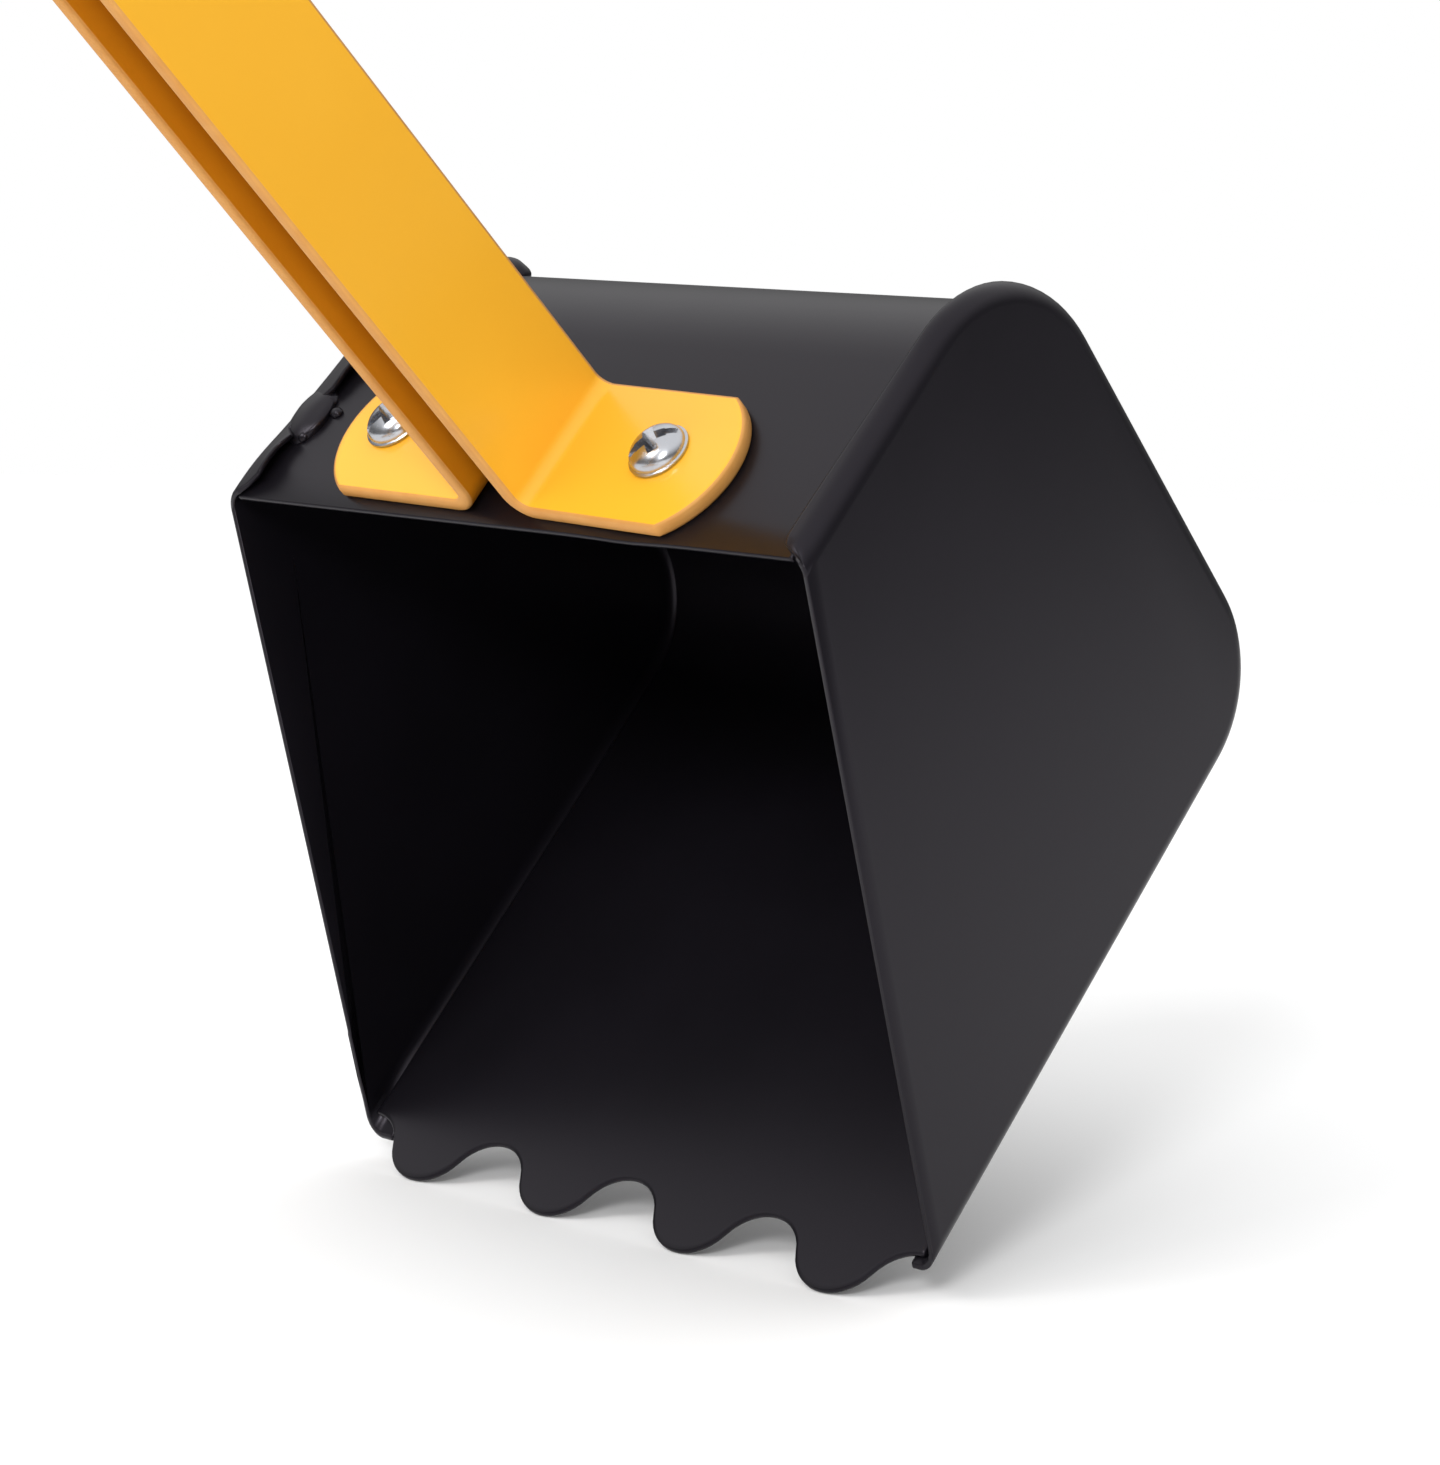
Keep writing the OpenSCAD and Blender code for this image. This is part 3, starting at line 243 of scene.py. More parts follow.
# %% Zinc, moulded plastic, rubber and nylon
def metal_finish(name, colour, rough, streak_mm):
    """Plated metal: tumbled, with faint streaks that change its gloss and dent it very slightly."""
    finish, tree, place = new_finish(name)
    streak = add(tree, "ShaderNodeTexNoise", {"Vector": (place, "Object"), "Detail": 3.0,
                                              "Scale": 1 / (streak_mm * MM)})
    gloss = add(tree, "ShaderNodeMapRange", {"Value": streak, "To Min": rough - 0.08,
                                             "To Max": rough + 0.12})
    dent = add(tree, "ShaderNodeBump", {"Height": streak, "Strength": 0.2, "Distance": 0.04 * MM})
    plate = add(tree, "ShaderNodeBsdfPrincipled", {
        "Metallic": 1.0, "Base Color": hex_to_linear(colour), "Roughness": gloss, "Normal": dent})
    add(tree, "ShaderNodeOutputMaterial", {"Surface": plate})
    return finish


def grain_finish(name, dark, light, rough, grain_mm, depth_mm):
    """Moulded or rubber skin: a fine even grain and a slight change of tone."""
    finish, tree, place = new_finish(name)
    cells = add(tree, "ShaderNodeTexVoronoi", {"Vector": (place, "Object"),
                                               "Scale": 1 / (grain_mm * MM)})
    tone = add(tree, "ShaderNodeTexNoise", {"Vector": (place, "Object"), "Detail": 3.0,
                                            "Scale": 1 / (40 * MM)})
    tint = add(tree, "ShaderNodeValToRGB", {"Fac": tone})
    for stop, code in zip(tint.color_ramp.elements, (dark, light)):
        stop.color = hex_to_linear(code)
    pits = add(tree, "ShaderNodeBump", {"Height": cells, "Strength": 0.4,
                                        "Distance": depth_mm * MM})
    moulding = add(tree, "ShaderNodeBsdfPrincipled", {
        "Base Color": tint, "Roughness": rough, "Normal": pits, "IOR": 1.5})
    add(tree, "ShaderNodeOutputMaterial", {"Surface": moulding})
    return finish


# Zinc plate on steel: bright and cool, almost a mirror on the curved heads
bright_zinc = metal_finish("bright_zinc_plate", "b2b4b9", 0.22, 1.5)
# Polypropylene, spark-eroded mould: drawn with a 1 mm grain, coarser than the real 0.3 mm
moulded_plastic = grain_finish("moulded_polypropylene", "161617", "1f1f21", 0.5, 1.0, 0.05)
# Soft PVC grip: matt, with a grey bloom
grip_rubber = grain_finish("soft_pvc_rubber", "141414", "232323", 0.72, 0.8, 0.04)
# Natural nylon: milky and waxy
natural_nylon = grain_finish("natural_nylon", "cfccbf", "dcdacf", 0.4, 2.0, 0.02)

FINISH_OF_SLOT = {
    "yellow_powder_coat": yellow_powder_coat, "black_powder_coat": black_powder_coat,
    "black_plastic": moulded_plastic, "grip_rubber": grip_rubber,
    "nylon": natural_nylon, "zinc_steel": bright_zinc,
}
SLOT_OF_NODE = {p["node"]: p["material_slot"] for p in frame["record"]["subparts"]}
BODY_OF_NODE = {n: b for b, names in frame["record"]["behaviour"]["bodies"].items() for n in names}

for name, node in nodes.items():
    for holder in node.material_slots:
        holder.material = FINISH_OF_SLOT[SLOT_OF_NODE[name]]
print("finished", len(nodes), "CAD nodes in", len(FINISH_OF_SLOT), "finishes")

# %% [markdown]
# ## The bucket's own frame
# The bucket hangs at 45 degrees, but it is easiest to draw lying straight: x along the top plate
# to the back, y across, z up from the top plate, in millimetres. One matrix takes such points to
# their place on the digger. The same frame serves the stick, which stands upright in it.

# %% A matrix from the bucket's frame, and how a piece is finished
BUCKET_AT = Vector((657.486, 0.0, 145.311)) * MM
BUCKET_TILT = math.radians(-45)
FROM_MM = Matrix.Diagonal((MM, MM, MM, 1.0))
FROM_BUCKET = Matrix.Translation(BUCKET_AT) @ Matrix.Rotation(BUCKET_TILT, 4, "Y") @ FROM_MM


def modify(piece, name, kind, **settings):
    """Adds a modifier with its settings."""
    made = piece.modifiers.new(name, kind)
    for key, value in settings.items():
        setattr(made, key, value)


def apply_modifiers(piece):
    """Turns a piece with modifiers into plain mesh, which it gives back."""
    scene_graph = bpy.context.evaluated_depsgraph_get()
    plain = bpy.data.meshes.new_from_object(piece.evaluated_get(scene_graph))
    piece.modifiers.clear()
    drawn, piece.data = piece.data, plain
    bpy.data.meshes.remove(drawn)
    plain.name = piece.name
    return plain


def finish_shape(piece, slot, node_names=(), sharp=35, others=()):
    """Applies the modifiers, smooths all but sharp edges, and takes the place of CAD nodes."""
    piece.data.materials.clear()
    for finish in (FINISH_OF_SLOT[slot], *others):
        piece.data.materials.append(finish)
    final = apply_modifiers(piece)
    final.shade_smooth()
    final.set_sharp_from_angle(angle=math.radians(sharp))
    if node_names:
        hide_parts(*node_names)
    print(piece.name, "faces:", len(final.polygons))


def round_cuts(piece, edge_round, segments=2, angle=50, clamp=False, material=-1):
    """Rounds the edges where the steel was cut."""
    modify(piece, "cut_edges", "BEVEL", width=edge_round * MM, segments=segments,
           limit_method="ANGLE", angle_limit=math.radians(angle), use_clamp_overlap=clamp,
           harden_normals=True, material=material)


def thicken(piece, thickness, edge_round, own_edge=False, **rounding):
    """Gives a drawn outer face its thickness, inwards, and rounds the cut edges.

    With own_edge, the cut edges have the piece's second finish and the inner face has its third.
    """
    modify(piece, "thickness", "SOLIDIFY", thickness=thickness * MM, offset=-1.0,
           use_even_offset=True, material_offset_rim=1 if own_edge else 0,
           material_offset=2 if own_edge else 0)
    round_cuts(piece, edge_round, material=1 if own_edge else -1, **rounding)


def join_rows(bm, rows):
    """Quads between rows of points."""
    for a, b in zip(rows, rows[1:]):
        for i in range(len(a) - 1):
            bm.faces.new((a[i], a[i + 1], b[i + 1], b[i]))


def grid_piece(name, rows, body, matrix):
    """A piece from rows of points, with quads between them."""
    bm = bmesh.new()
    join_rows(bm, [[bm.verts.new(matrix @ Vector(p)) for p in row] for row in rows])
    return keep_mesh(name, bm, body)


def lengths_to(points):
    """The length of a path up to each of its points."""
    lengths = [0.0]
    for a, b in zip(points, points[1:]):
        lengths.append(lengths[-1] + math.dist(a, b))
    return lengths


def smooth(t):
    """Rises softly from 0 to 1 while t does."""
    t = min(max(t, 0.0), 1.0)
    return t * t * (3 - 2 * t)


print("the bucket's corner is at", [round(v, 3) for v in FROM_BUCKET @ Vector((0, 0, 0))])

# %% [markdown]
# ## Geometry Nodes, started and run
# Geometry Nodes suit what repeats or follows a rule, because the rule stays readable and its sizes
# have names. One function starts a tree with named inputs. Another runs it on a source mesh and
# keeps the result as plain mesh, since instances and live modifiers would be lost later.

# %% Start a tree and grow a piece from it
MATH = "ShaderNodeMath"


def start_tree(name, labels, kind="Float"):
    """A Geometry Nodes tree with a geometry input, named inputs of one kind, and a finish."""
    tree = bpy.data.node_groups.new(name, "GeometryNodeTree")
    sockets = {"Geometry": "Geometry", **{label: kind for label in labels}, "Finish": "Material"}
    for label, socket in sockets.items():
        tree.interface.new_socket(label, in_out="INPUT", socket_type="NodeSocket" + socket)
    tree.interface.new_socket("Geometry", in_out="OUTPUT", socket_type="NodeSocketGeometry")
    return tree, add(tree, "NodeGroupInput")


def end_tree(tree, given, shape):
    """Makes instances real, sets the finish and gives the geometry out."""
    real = add(tree, "GeometryNodeRealizeInstances", {"Geometry": shape})
    coated = add(tree, "GeometryNodeSetMaterial", {"Geometry": real,
                                                   "Material": (given, "Finish")})
    add(tree, "NodeGroupOutput", {"Geometry": coated})


def grow(name, source, tree, values, matrix, body):
    """Runs a tree on a source mesh and keeps the result as a plain piece on a body."""
    grown = bpy.data.objects.new(name, source)
    bpy.context.scene.collection.objects.link(grown)
    rule = grown.modifiers.new("rule", "NODES")
    rule.node_group = tree
    for item in tree.interface.items_tree:
        if item.in_out == "INPUT" and item.name in values:
            rule[item.identifier] = values[item.name]
    apply_modifiers(grown).transform(matrix)
    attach(grown, body)
    return grown


def line_mesh(name, chains, **numbers):
    """A mesh of joined points for each chain, with a float attribute for each list of numbers."""
    mesh = bpy.data.meshes.new(name)
    points, edges = [], []
    for chain in chains:
        edges += [(len(points) + i, len(points) + i + 1) for i in range(len(chain) - 1)]
        points += chain
    mesh.from_pydata(points, edges, [])
    for label, values in numbers.items():
        mesh.attributes.new(label, "FLOAT", "POINT").data.foreach_set("value", values)
    return mesh


print("trees end in Realize Instances and Set Material")

# %% [markdown]
# ## Bucket shell
# One strip of sheet steel, folded twice: the top plate, a wide bend, the back, a tighter bend and
# the floor, whose front edge is stamped into four scallops. It could be drawn point by point, but
# its shape is a rule, so Geometry Nodes make it: a line of corners is filleted to the bends' radii,
# a straight edge is swept along it, and the floor's front is pulled onto a wave of equal arcs.

# %% Sizes and side profile of the bucket
SHEET = 1.2
HALF_WIDTH, SHELL_HALF = 80.5, 77.36
TOP_LEN, DEPTH, RAKE = 83.5, 123.0, 71.5
BEND_TOP, BEND_LOW = 29.0, 24.0
# The shell's own top bend is a little wider than that of the rims, which stand off it there
SHELL_BEND_TOP = 34.0
BACK_LEAN = math.radians(5)
CORNERS = [Vector((0, 0)), Vector((TOP_LEN, 0)),
           Vector((TOP_LEN - DEPTH * math.tan(BACK_LEAN), -DEPTH)), Vector((-RAKE, -DEPTH))]
# The left side leans in a little at the top, and its edge was beaten further in when the rim was
# turned over, which the photograph shows
LEAN_IN, LEAN_DEPTH, BEATEN_IN, BEATEN_RUN = 1.7, 88.0, 5.4, 44.0
# The front edge of the top plate sags beside the right foot: how far, where, and how wide and deep
SAG, SAG_AT, SAG_WIDE, SAG_DEEP = 0.6, -35.0, 9.0, 8.0


def lean_in(z):
    """How far the left side stands in from its place at a depth under the top plate."""
    return LEAN_IN * (1 + z / LEAN_DEPTH)


def beaten_in(x, z):
    """How much further the left edge of the top plate stands in."""
    return BEATEN_IN * smooth(x / BEATEN_RUN) * smooth(1 + z / BEND_TOP)


TEETH, TOOTH_REACH, TOOTH_AHEAD = 4, 12.5, 11.0
TOOTH_PITCH = 2 * SHELL_HALF / TEETH
TOOTH_ARC = (TOOTH_PITCH ** 2 / 4 + TOOTH_REACH ** 2) / (4 * TOOTH_REACH)
TOOTH_TIP = -RAKE - TOOTH_AHEAD
FLOOR_FADE = 22.0
print("each scallop is", round(TOOTH_PITCH, 1), "mm wide, on arcs of", round(TOOTH_ARC, 1), "mm")

# %% [markdown]
# The wave: the distance to the nearest root is a zigzag across the floor. Up to a quarter of a
# scallop it lies on the root's arc, and beyond that on the tip's, so both meet on the flank.

# %% Tree of the folded sheet
fold_tree, fold_in = start_tree("folded_sheet", [
    "Half width", "Scallop width", "Scallop reach", "Scallop arc", "Tip at", "Fade from",
    "Fade length"])
bend = add(fold_tree, "GeometryNodeInputNamedAttribute", {"Name": "bend"}, data_type="FLOAT")
spine = add(fold_tree, "GeometryNodeMeshToCurve", {"Mesh": fold_in})
filleted = add(fold_tree, "GeometryNodeFilletCurve",
               {"Curve": spine, "Radius": bend, "Count": 20}, mode="POLY")
left_end = add(fold_tree, "ShaderNodeCombineXYZ", {"X": (fold_in, "Half width")})
right_end = add(fold_tree, "ShaderNodeVectorMath", {0: left_end, 1: (-1.0, 1.0, 1.0)},
                operation="MULTIPLY")
across = add(fold_tree, "GeometryNodeCurvePrimitiveLine", {"Start": right_end, "End": left_end})
across_fine = add(fold_tree, "GeometryNodeResampleCurve", {"Curve": across, "Count": 161})
strip = add(fold_tree, "GeometryNodeCurveToMesh", {"Curve": filleted,
                                                   "Profile Curve": across_fine})
here = add(fold_tree, "GeometryNodeInputPosition")
part = add(fold_tree, "ShaderNodeSeparateXYZ", {"Vector": here})
from_edge = add(fold_tree, MATH, {0: (part, "Y"), 1: (fold_in, "Half width")}, operation="ADD")
half_pitch = add(fold_tree, MATH, {0: (fold_in, "Scallop width"), 1: 0.5}, operation="MULTIPLY")
root_gap = add(fold_tree, MATH, {0: from_edge, 1: half_pitch}, operation="PINGPONG")
tip_gap = add(fold_tree, MATH, {0: half_pitch, 1: root_gap}, operation="SUBTRACT")
arc_squared = add(fold_tree, MATH, {0: (fold_in, "Scallop arc"), 1: 2.0}, operation="POWER")
rises = []
for gap in (root_gap, tip_gap):
    squared = add(fold_tree, MATH, {0: gap, 1: 2.0}, operation="POWER")
    rest = add(fold_tree, MATH, {0: arc_squared, 1: squared}, operation="SUBTRACT")
    high = add(fold_tree, MATH, {0: rest}, operation="SQRT")
    rises.append(add(fold_tree, MATH, {0: (fold_in, "Scallop arc"), 1: high},
                     operation="SUBTRACT"))
root_wave = add(fold_tree, MATH, {0: (fold_in, "Scallop reach"), 1: rises[0]},
                operation="SUBTRACT")
near_tip = add(fold_tree, MATH, {0: root_gap, 1: tip_gap}, operation="GREATER_THAN")
wave = add(fold_tree, "ShaderNodeMix", {0: near_tip, 2: root_wave, 3: rises[1]})
edge_x = add(fold_tree, MATH, {0: wave, 1: (fold_in, "Tip at")}, operation="ADD")
print("nodes so far:", len(fold_tree.nodes))

# %% [markdown]
# Only the last stretch of the floor is pulled to the wave, and more so towards its edge. The
# straight parts have no need of more points, so the wave costs few faces.

# %% Pull the floor's front onto the wave
gone_in = add(fold_tree, MATH, {0: (fold_in, "Fade from"), 1: (part, "X")}, operation="SUBTRACT")
share = add(fold_tree, MATH, {0: gone_in, 1: (fold_in, "Fade length")}, operation="DIVIDE",
            use_clamp=True)
straight_x = add(fold_tree, MATH, {0: (fold_in, "Fade from"), 1: (fold_in, "Fade length")},
                 operation="SUBTRACT")
pull = add(fold_tree, MATH, {0: edge_x, 1: straight_x}, operation="SUBTRACT")
step = add(fold_tree, MATH, {0: pull, 1: share}, operation="MULTIPLY")
move = add(fold_tree, "ShaderNodeCombineXYZ", {"X": step})
scalloped = add(fold_tree, "GeometryNodeSetPosition", {"Geometry": strip, "Offset": move})
end_tree(fold_tree, fold_in, scalloped)

fade_x = -RAKE + FLOOR_FADE
top_xs = [8.0 * k for k in range(6)]
floor_xs = [fade_x - FLOOR_FADE * t for t in (0.0, 0.25, 0.5, 0.75, 0.88, 0.95, 1.0)]
spine_points = [(x, 0.0, 0.0) for x in top_xs] + [(p.x, 0.0, p.y) for p in CORNERS[1:3]]
spine_points += [(x, 0.0, -DEPTH) for x in floor_xs]
bends = [0.0] * len(top_xs) + [SHELL_BEND_TOP, BEND_LOW] + [0.0] * len(floor_xs)
bucket_shell = grow(
    "bucket_shell_sheet", line_mesh("spine", [spine_points], bend=bends), fold_tree,
    {"Half width": SHELL_HALF, "Scallop width": TOOTH_PITCH, "Scallop reach": TOOTH_REACH,
     "Scallop arc": TOOTH_ARC, "Tip at": TOOTH_TIP, "Fade from": fade_x,
     "Fade length": FLOOR_FADE, "Finish": black_powder_coat}, Matrix(), "stick")
for v in bucket_shell.data.vertices:
    # Only the outer two fifths of the left half move with the left side
    moved_in = beaten_in(v.co.x, v.co.z) + lean_in(v.co.z)
    v.co.y -= moved_in * smooth((v.co.y / SHELL_HALF - 0.6) / 0.4)
    v.co.z -= (SAG * math.exp(-((v.co.y - SAG_AT) / SAG_WIDE) ** 2)
               * smooth(1 - abs(v.co.x) / SAG_DEEP))
bucket_shell.data.transform(FROM_BUCKET)
thicken(bucket_shell, SHEET, 0.3)
finish_shape(bucket_shell, "black_powder_coat", ["bucket_shell"])
shell_low = min(v.co.z for v in bucket_shell.data.vertices)
print("scallops:", TEETH, "lowest point:", round(shell_low / MM, 2), "mm")

# %% [markdown]
# ## Bucket sides
# Each side is a pressed plate. The press turns its rim inwards over the shell along the top, the
# back and the floor. The section across the rim is the same nearly all the way round, so the rim
# is that section carried along the profile, and the flat middle is one face. A swept curve would
# do this too, but here the rim's width, lift and ends change along the way: the left rim was
# turned by hand, stands off the plate and breaks off at a weld. So the rows are drawn in mesh code.


# %% Profile and section of the rolled rim
def bend_points(before, corner, after, radius, steps):
    """Points of a round corner, each with the direction that faces out of the bucket."""
    come, go = (corner - before).normalized(), (after - corner).normalized()
    turn = come.angle(go)
    out = Vector((-come.y, come.x))
    centre = corner - come * radius * math.tan(turn / 2) - out * radius
    points = []
    for i in range(steps + 1):
        a = turn * i / steps
        facing = out * math.cos(a) + come * math.sin(a)
        points.append((centre + facing * radius, facing))
    return points


def profile(run_steps=24, bend_steps=20):
    """The side profile from the mouth round to the floor's front corner."""
    top_bend = bend_points(*CORNERS[:3], BEND_TOP, bend_steps)
    low_bend = bend_points(*CORNERS[1:], BEND_LOW, bend_steps)
    path = [(CORNERS[0], top_bend[0][1])]
    for stretch in (top_bend, low_bend, [(CORNERS[3], low_bend[-1][1])]):
        last, facing = path[-1]
        path += [(last.lerp(stretch[0][0], i / run_steps), facing) for i in range(1, run_steps)]
        path += stretch
    return path


RIM_GAP, RIM_FOLD = 0.12, 3.0
FOLD_OUT = RIM_FOLD + SHEET
FOLD_LEN = FOLD_OUT * math.pi / 2
MOUTH_DIRECTION = (CORNERS[3] - CORNERS[0]).normalized()


def rim_point(length, depth, lift, reach):
    """(out from the shell, in from the side) after a length of rim, at a depth in the sheet."""
    a = min(max(length, 0.0), FOLD_LEN) / FOLD_OUT
    radius = FOLD_OUT - depth
    flat = max(length - FOLD_LEN, 0.0)
    out = RIM_GAP - RIM_FOLD + radius * math.sin(a) + min(length, 0.0)
    out += lift * (max(length, 0.0) / reach) ** 2
    return out, FOLD_OUT - radius * math.cos(a) + flat


print("rim: a fold of", round(FOLD_LEN, 1), "mm, then the flat lip")

# %% [markdown]
# Short functions say how each rim differs from the plain one: how much of it is left at a distance
# from the mouth, and how far it stands off the top plate and the floor. Where the left rim was
# welded, only its fold is left over some 12 mm.

# %% The rims' widths and lifts
RIGHT_RIM, RIGHT_NARROWING = 6.2, 1.6
LEFT_RIM, LEFT_RIM_WAVY, WAVY_RUN = 6.0, 8.0, 60.0
WELD_FROM, WELD_TO, WELD_RAMP, WELD_BITE = 15.5, 26.5, 1.6, 3.4
HOOK_RUN, HOOK_WIDER, HOOK_STAND = 16.0, 1.5, 2.2


def rim_width(side, s, to_go):
    """Width of the rim, from the side's outer face, at distances from both its ends."""
    if side == -1:
        return RIGHT_RIM - RIGHT_NARROWING * smooth(s / 60) * smooth(to_go / 40)
    ripple = 0.35 * math.sin(s / 2.6) + 0.25 * math.sin(s / 1.1) + 0.5 * smooth(s / 40)
    extra = (LEFT_RIM_WAVY + ripple - LEFT_RIM) * (1 - smooth((s - WAVY_RUN) / 30))
    weld = smooth((s - WELD_FROM) / WELD_RAMP) * smooth((WELD_TO - s) / WELD_RAMP)
    return LEFT_RIM + extra - WELD_BITE * weld + HOOK_WIDER * smooth(1 - to_go / HOOK_RUN)


def rim_lift(side, s):
    """How far the rim's free edge stands off the sheet under it: two crumples on the left."""
    if side == -1:
        return 0.0
    return (0.3 * smooth(2 - s / 50) + 1.5 * math.exp(-((s - 9) / 7) ** 2)
            + 1.1 * math.exp(-((s - 36) / 9) ** 2))


def rim_stand(side, to_go):
    """How far the left rim stands off the floor near the mouth, where it hooks round the corner."""
    return HOOK_STAND * smooth(1 - to_go / HOOK_RUN) if side == 1 else 0.0


print("rim widths at 5 mm:", [round(rim_width(s, 5.0, 300.0), 1) for s in (1, -1)])

# %% Build the side plates
# The rim's end is cut over a length: how much of the fold is left at its very end, by side
RIM_CUT, FOLD_AT_END = 4.4, {1: 0.95, -1: 0.45}
RIM_STEPS, RIM_REACH = 11, FOLD_LEN + 3.0
# The left plate was dented along its edge, so it has rows of points beside its rim as well
HEM_STEP, HEM_ROWS, HEM_RUN = 3.0, 6, 15.0


def side_plate(side, name, node):
    """A side plate with its rim. side is 1 for the left one, -1 for the right one."""
    path = profile()
    lengths = lengths_to([point for point, _ in path])
    hem = [-HEM_STEP * k for k in range(HEM_ROWS, 0, -1)] if side == 1 else []
    bm = bmesh.new()
    made = []
    for (point, facing), s in zip(path, lengths):
        to_go = lengths[-1] - s
        full = FOLD_LEN + rim_width(side, s, to_go) - FOLD_OUT
        cut = 1 - min(s, RIM_CUT) / RIM_CUT
        missing = cut if side == 1 else 1 - math.sqrt(1 - cut * cut)
        reach = full - (full - FOLD_LEN * FOLD_AT_END[side]) * missing
        rim = [h * min(1.0, to_go / 12) for h in hem]
        rim += [reach * j / RIM_STEPS for j in range(RIM_STEPS + 1)]
        lean = beaten_in(point.x, point.y) if side == 1 else 0.0
        row = []
        for length, depth in [(v, 0.0) for v in rim] + [(v, SHEET) for v in rim[::-1]]:
            out, inwards = rim_point(length, depth, rim_lift(side, s), RIM_REACH)
            place = point + facing * (out + rim_stand(side, to_go))
            inwards += lean * smooth((length + HEM_RUN) / (HEM_RUN + FOLD_LEN))
            inwards += lean_in(place.y) if side == 1 else 0.0
            if s in (0.0, lengths[-1]):
                place.x = place.y * MOUTH_DIRECTION.x / MOUTH_DIRECTION.y
            at = Vector((place.x, side * (HALF_WIDTH - inwards), place.y))
            row.append(bm.verts.new(FROM_BUCKET @ at))
        made.append(row)
    join_rows(bm, made)
    bm.faces.new([row[0] for row in made])
    bm.faces.new([row[-1] for row in made[::-1]])
    # The mouth edge joins the outer and the inner face, along the rim's ends as well
    for row in (made[0], made[-1]):
        for j in range(len(hem) + RIM_STEPS):
            bm.faces.new((row[j], row[j + 1], row[-2 - j], row[-1 - j]))
    bm.faces.new((made[0][0], made[-1][0], made[-1][-1], made[0][-1]))
    bmesh.ops.remove_doubles(bm, verts=bm.verts, dist=0.01 * MM)
    bmesh.ops.recalc_face_normals(bm, faces=bm.faces)
    plate = keep_mesh(name, bm, "stick")
    round_cuts(plate, 0.3)
    finish_shape(plate, "black_powder_coat", [node])


side_plate(1, "bucket_side_pressing_left", "bucket_side_left")
side_plate(-1, "bucket_side_pressing_right", "bucket_side_right")

# %% [markdown]
# ## Weld in the left rim
# Between its two lengths the left rim is welded down: a dark, glossy lump that fills the break and
# runs down onto the top plate, with small drops of spatter beside it. A second lump sits on the
# rim at the back edge, where its tip shows beside the bar. Melted metal under paint has no straight
# line in it, so each lump is a fine ball, flattened, and pushed about by noise.

# %% Weld lump and drops
WELD_LUMPS = (((21.8, 69.7, 0.3), (7.4, 5.0, 2.0)), ((16.6, 68.0, 0.3), (1.6, 1.4, 1.2)),
              ((25.8, 67.2, 0.1), (2.0, 1.7, 1.4)), ((23.2, 63.4, 0.1), (1.3, 1.5, 1.1)),
              ((74.0, 62.5, -14.2), (4.2, 7.0, 3.4)))
lump_bm = bmesh.new()
for at, size in WELD_LUMPS:
    for v in bmesh.ops.create_icosphere(lump_bm, subdivisions=4, radius=1.0)["verts"]:
        wobble = 1 + 0.1 * noise.noise(v.co * 1.4 + Vector(at))
        v.co = FROM_BUCKET @ (Vector(at) + Vector(size) * v.co * wobble)
finish_shape(keep_mesh("bucket_weld_lumps", lump_bm, "stick"), "black_powder_coat", sharp=80)

# %% [markdown]
# ## Stick bars
# Two flat bars stand back to back, and the foot of each is bent out into a tab with a round end.
# A bent bar is a strip: one direction follows the bar down, round the bend and out, the other runs
# across its width. The first and last rows are pulled onto the bar's rounded ends, and Solidify
# lets the steel's thickness grow inwards. Its rim gets the duller finish of a sheared edge, and
# the sides that face the other bar get a darker, browner yellow: painted shade of the narrow gap
# between the bars. The feet are a little askew, as the photograph shows and as hand-bent feet are.

# %% The two bars
BAR_WIDTH, BAR_THICK, BAR_SET, BAR_GAP = 32.0, 3.0, 2.3, 10.0
BAR_HALF = BAR_WIDTH / 2
FOOT_MID = BAR_SET + BAR_HALF
FOOT_BEND, FOOT_END = 3.0, 18.7
STICK_LEN, LINK_ARM = 379.765, 65.0
STICK_TOP = STICK_LEN + LINK_ARM
# The first column stands 0.9 mm in from the edge, which leaves room for the rounded cut
FIRST_STEP = math.acos(1 - 0.9 / BAR_HALF)


def stick_bar(side, name, node, askew, out_to, across=24, bend_steps=12):
    """One bar, drawn on its outer face: the side that looks away from its twin, and the tab's top.

    askew and out_to say how far its foot's round end is shifted and how far out its middle is.
    """
    angles = [FIRST_STEP + (math.pi - 2 * FIRST_STEP) * i / across for i in range(across + 1)]
    columns = [-BAR_HALF] + [-BAR_HALF * math.cos(a) for a in angles] + [BAR_HALF]
    face = BAR_GAP / 2 + BAR_THICK
    rows = [[(FOOT_MID + v, face, STICK_TOP + math.sqrt(BAR_HALF ** 2 - v * v)) for v in columns]]
    for z in (STICK_TOP, 300.0, 200.0, 100.0, 40.0):
        rows.append([(FOOT_MID + v, face, z) for v in columns])
    for i in range(bend_steps + 1):
        a = math.pi / 2 * i / bend_steps
        out, z = FOOT_BEND * (1 - math.cos(a)), BAR_THICK + FOOT_BEND * (1 - math.sin(a))
        rows.append([(FOOT_MID + v, face + out, z) for v in columns])
    start = face + FOOT_BEND
    for t in (0.3, 0.6, 0.85, 0.95, 1.0):
        rows.append([(FOOT_MID + v - askew * t,
                      start + (out_to + math.sqrt(FOOT_END ** 2 - v * v) - start) * t,
                      BAR_THICK) for v in columns])
    rows = [[(x, side * y, z) for x, y, z in row[::side]] for row in rows]
    bar = grid_piece(name, rows, "stick", FROM_BUCKET)
    thicken(bar, BAR_THICK, 0.7, own_edge=True, segments=3)
    # The faces towards the other bar get a darker yellow, painted shade of the gap between the bars
    finish_shape(bar, "yellow_powder_coat", [node], others=(yellow_sheared_edge, yellow_thin_coat))


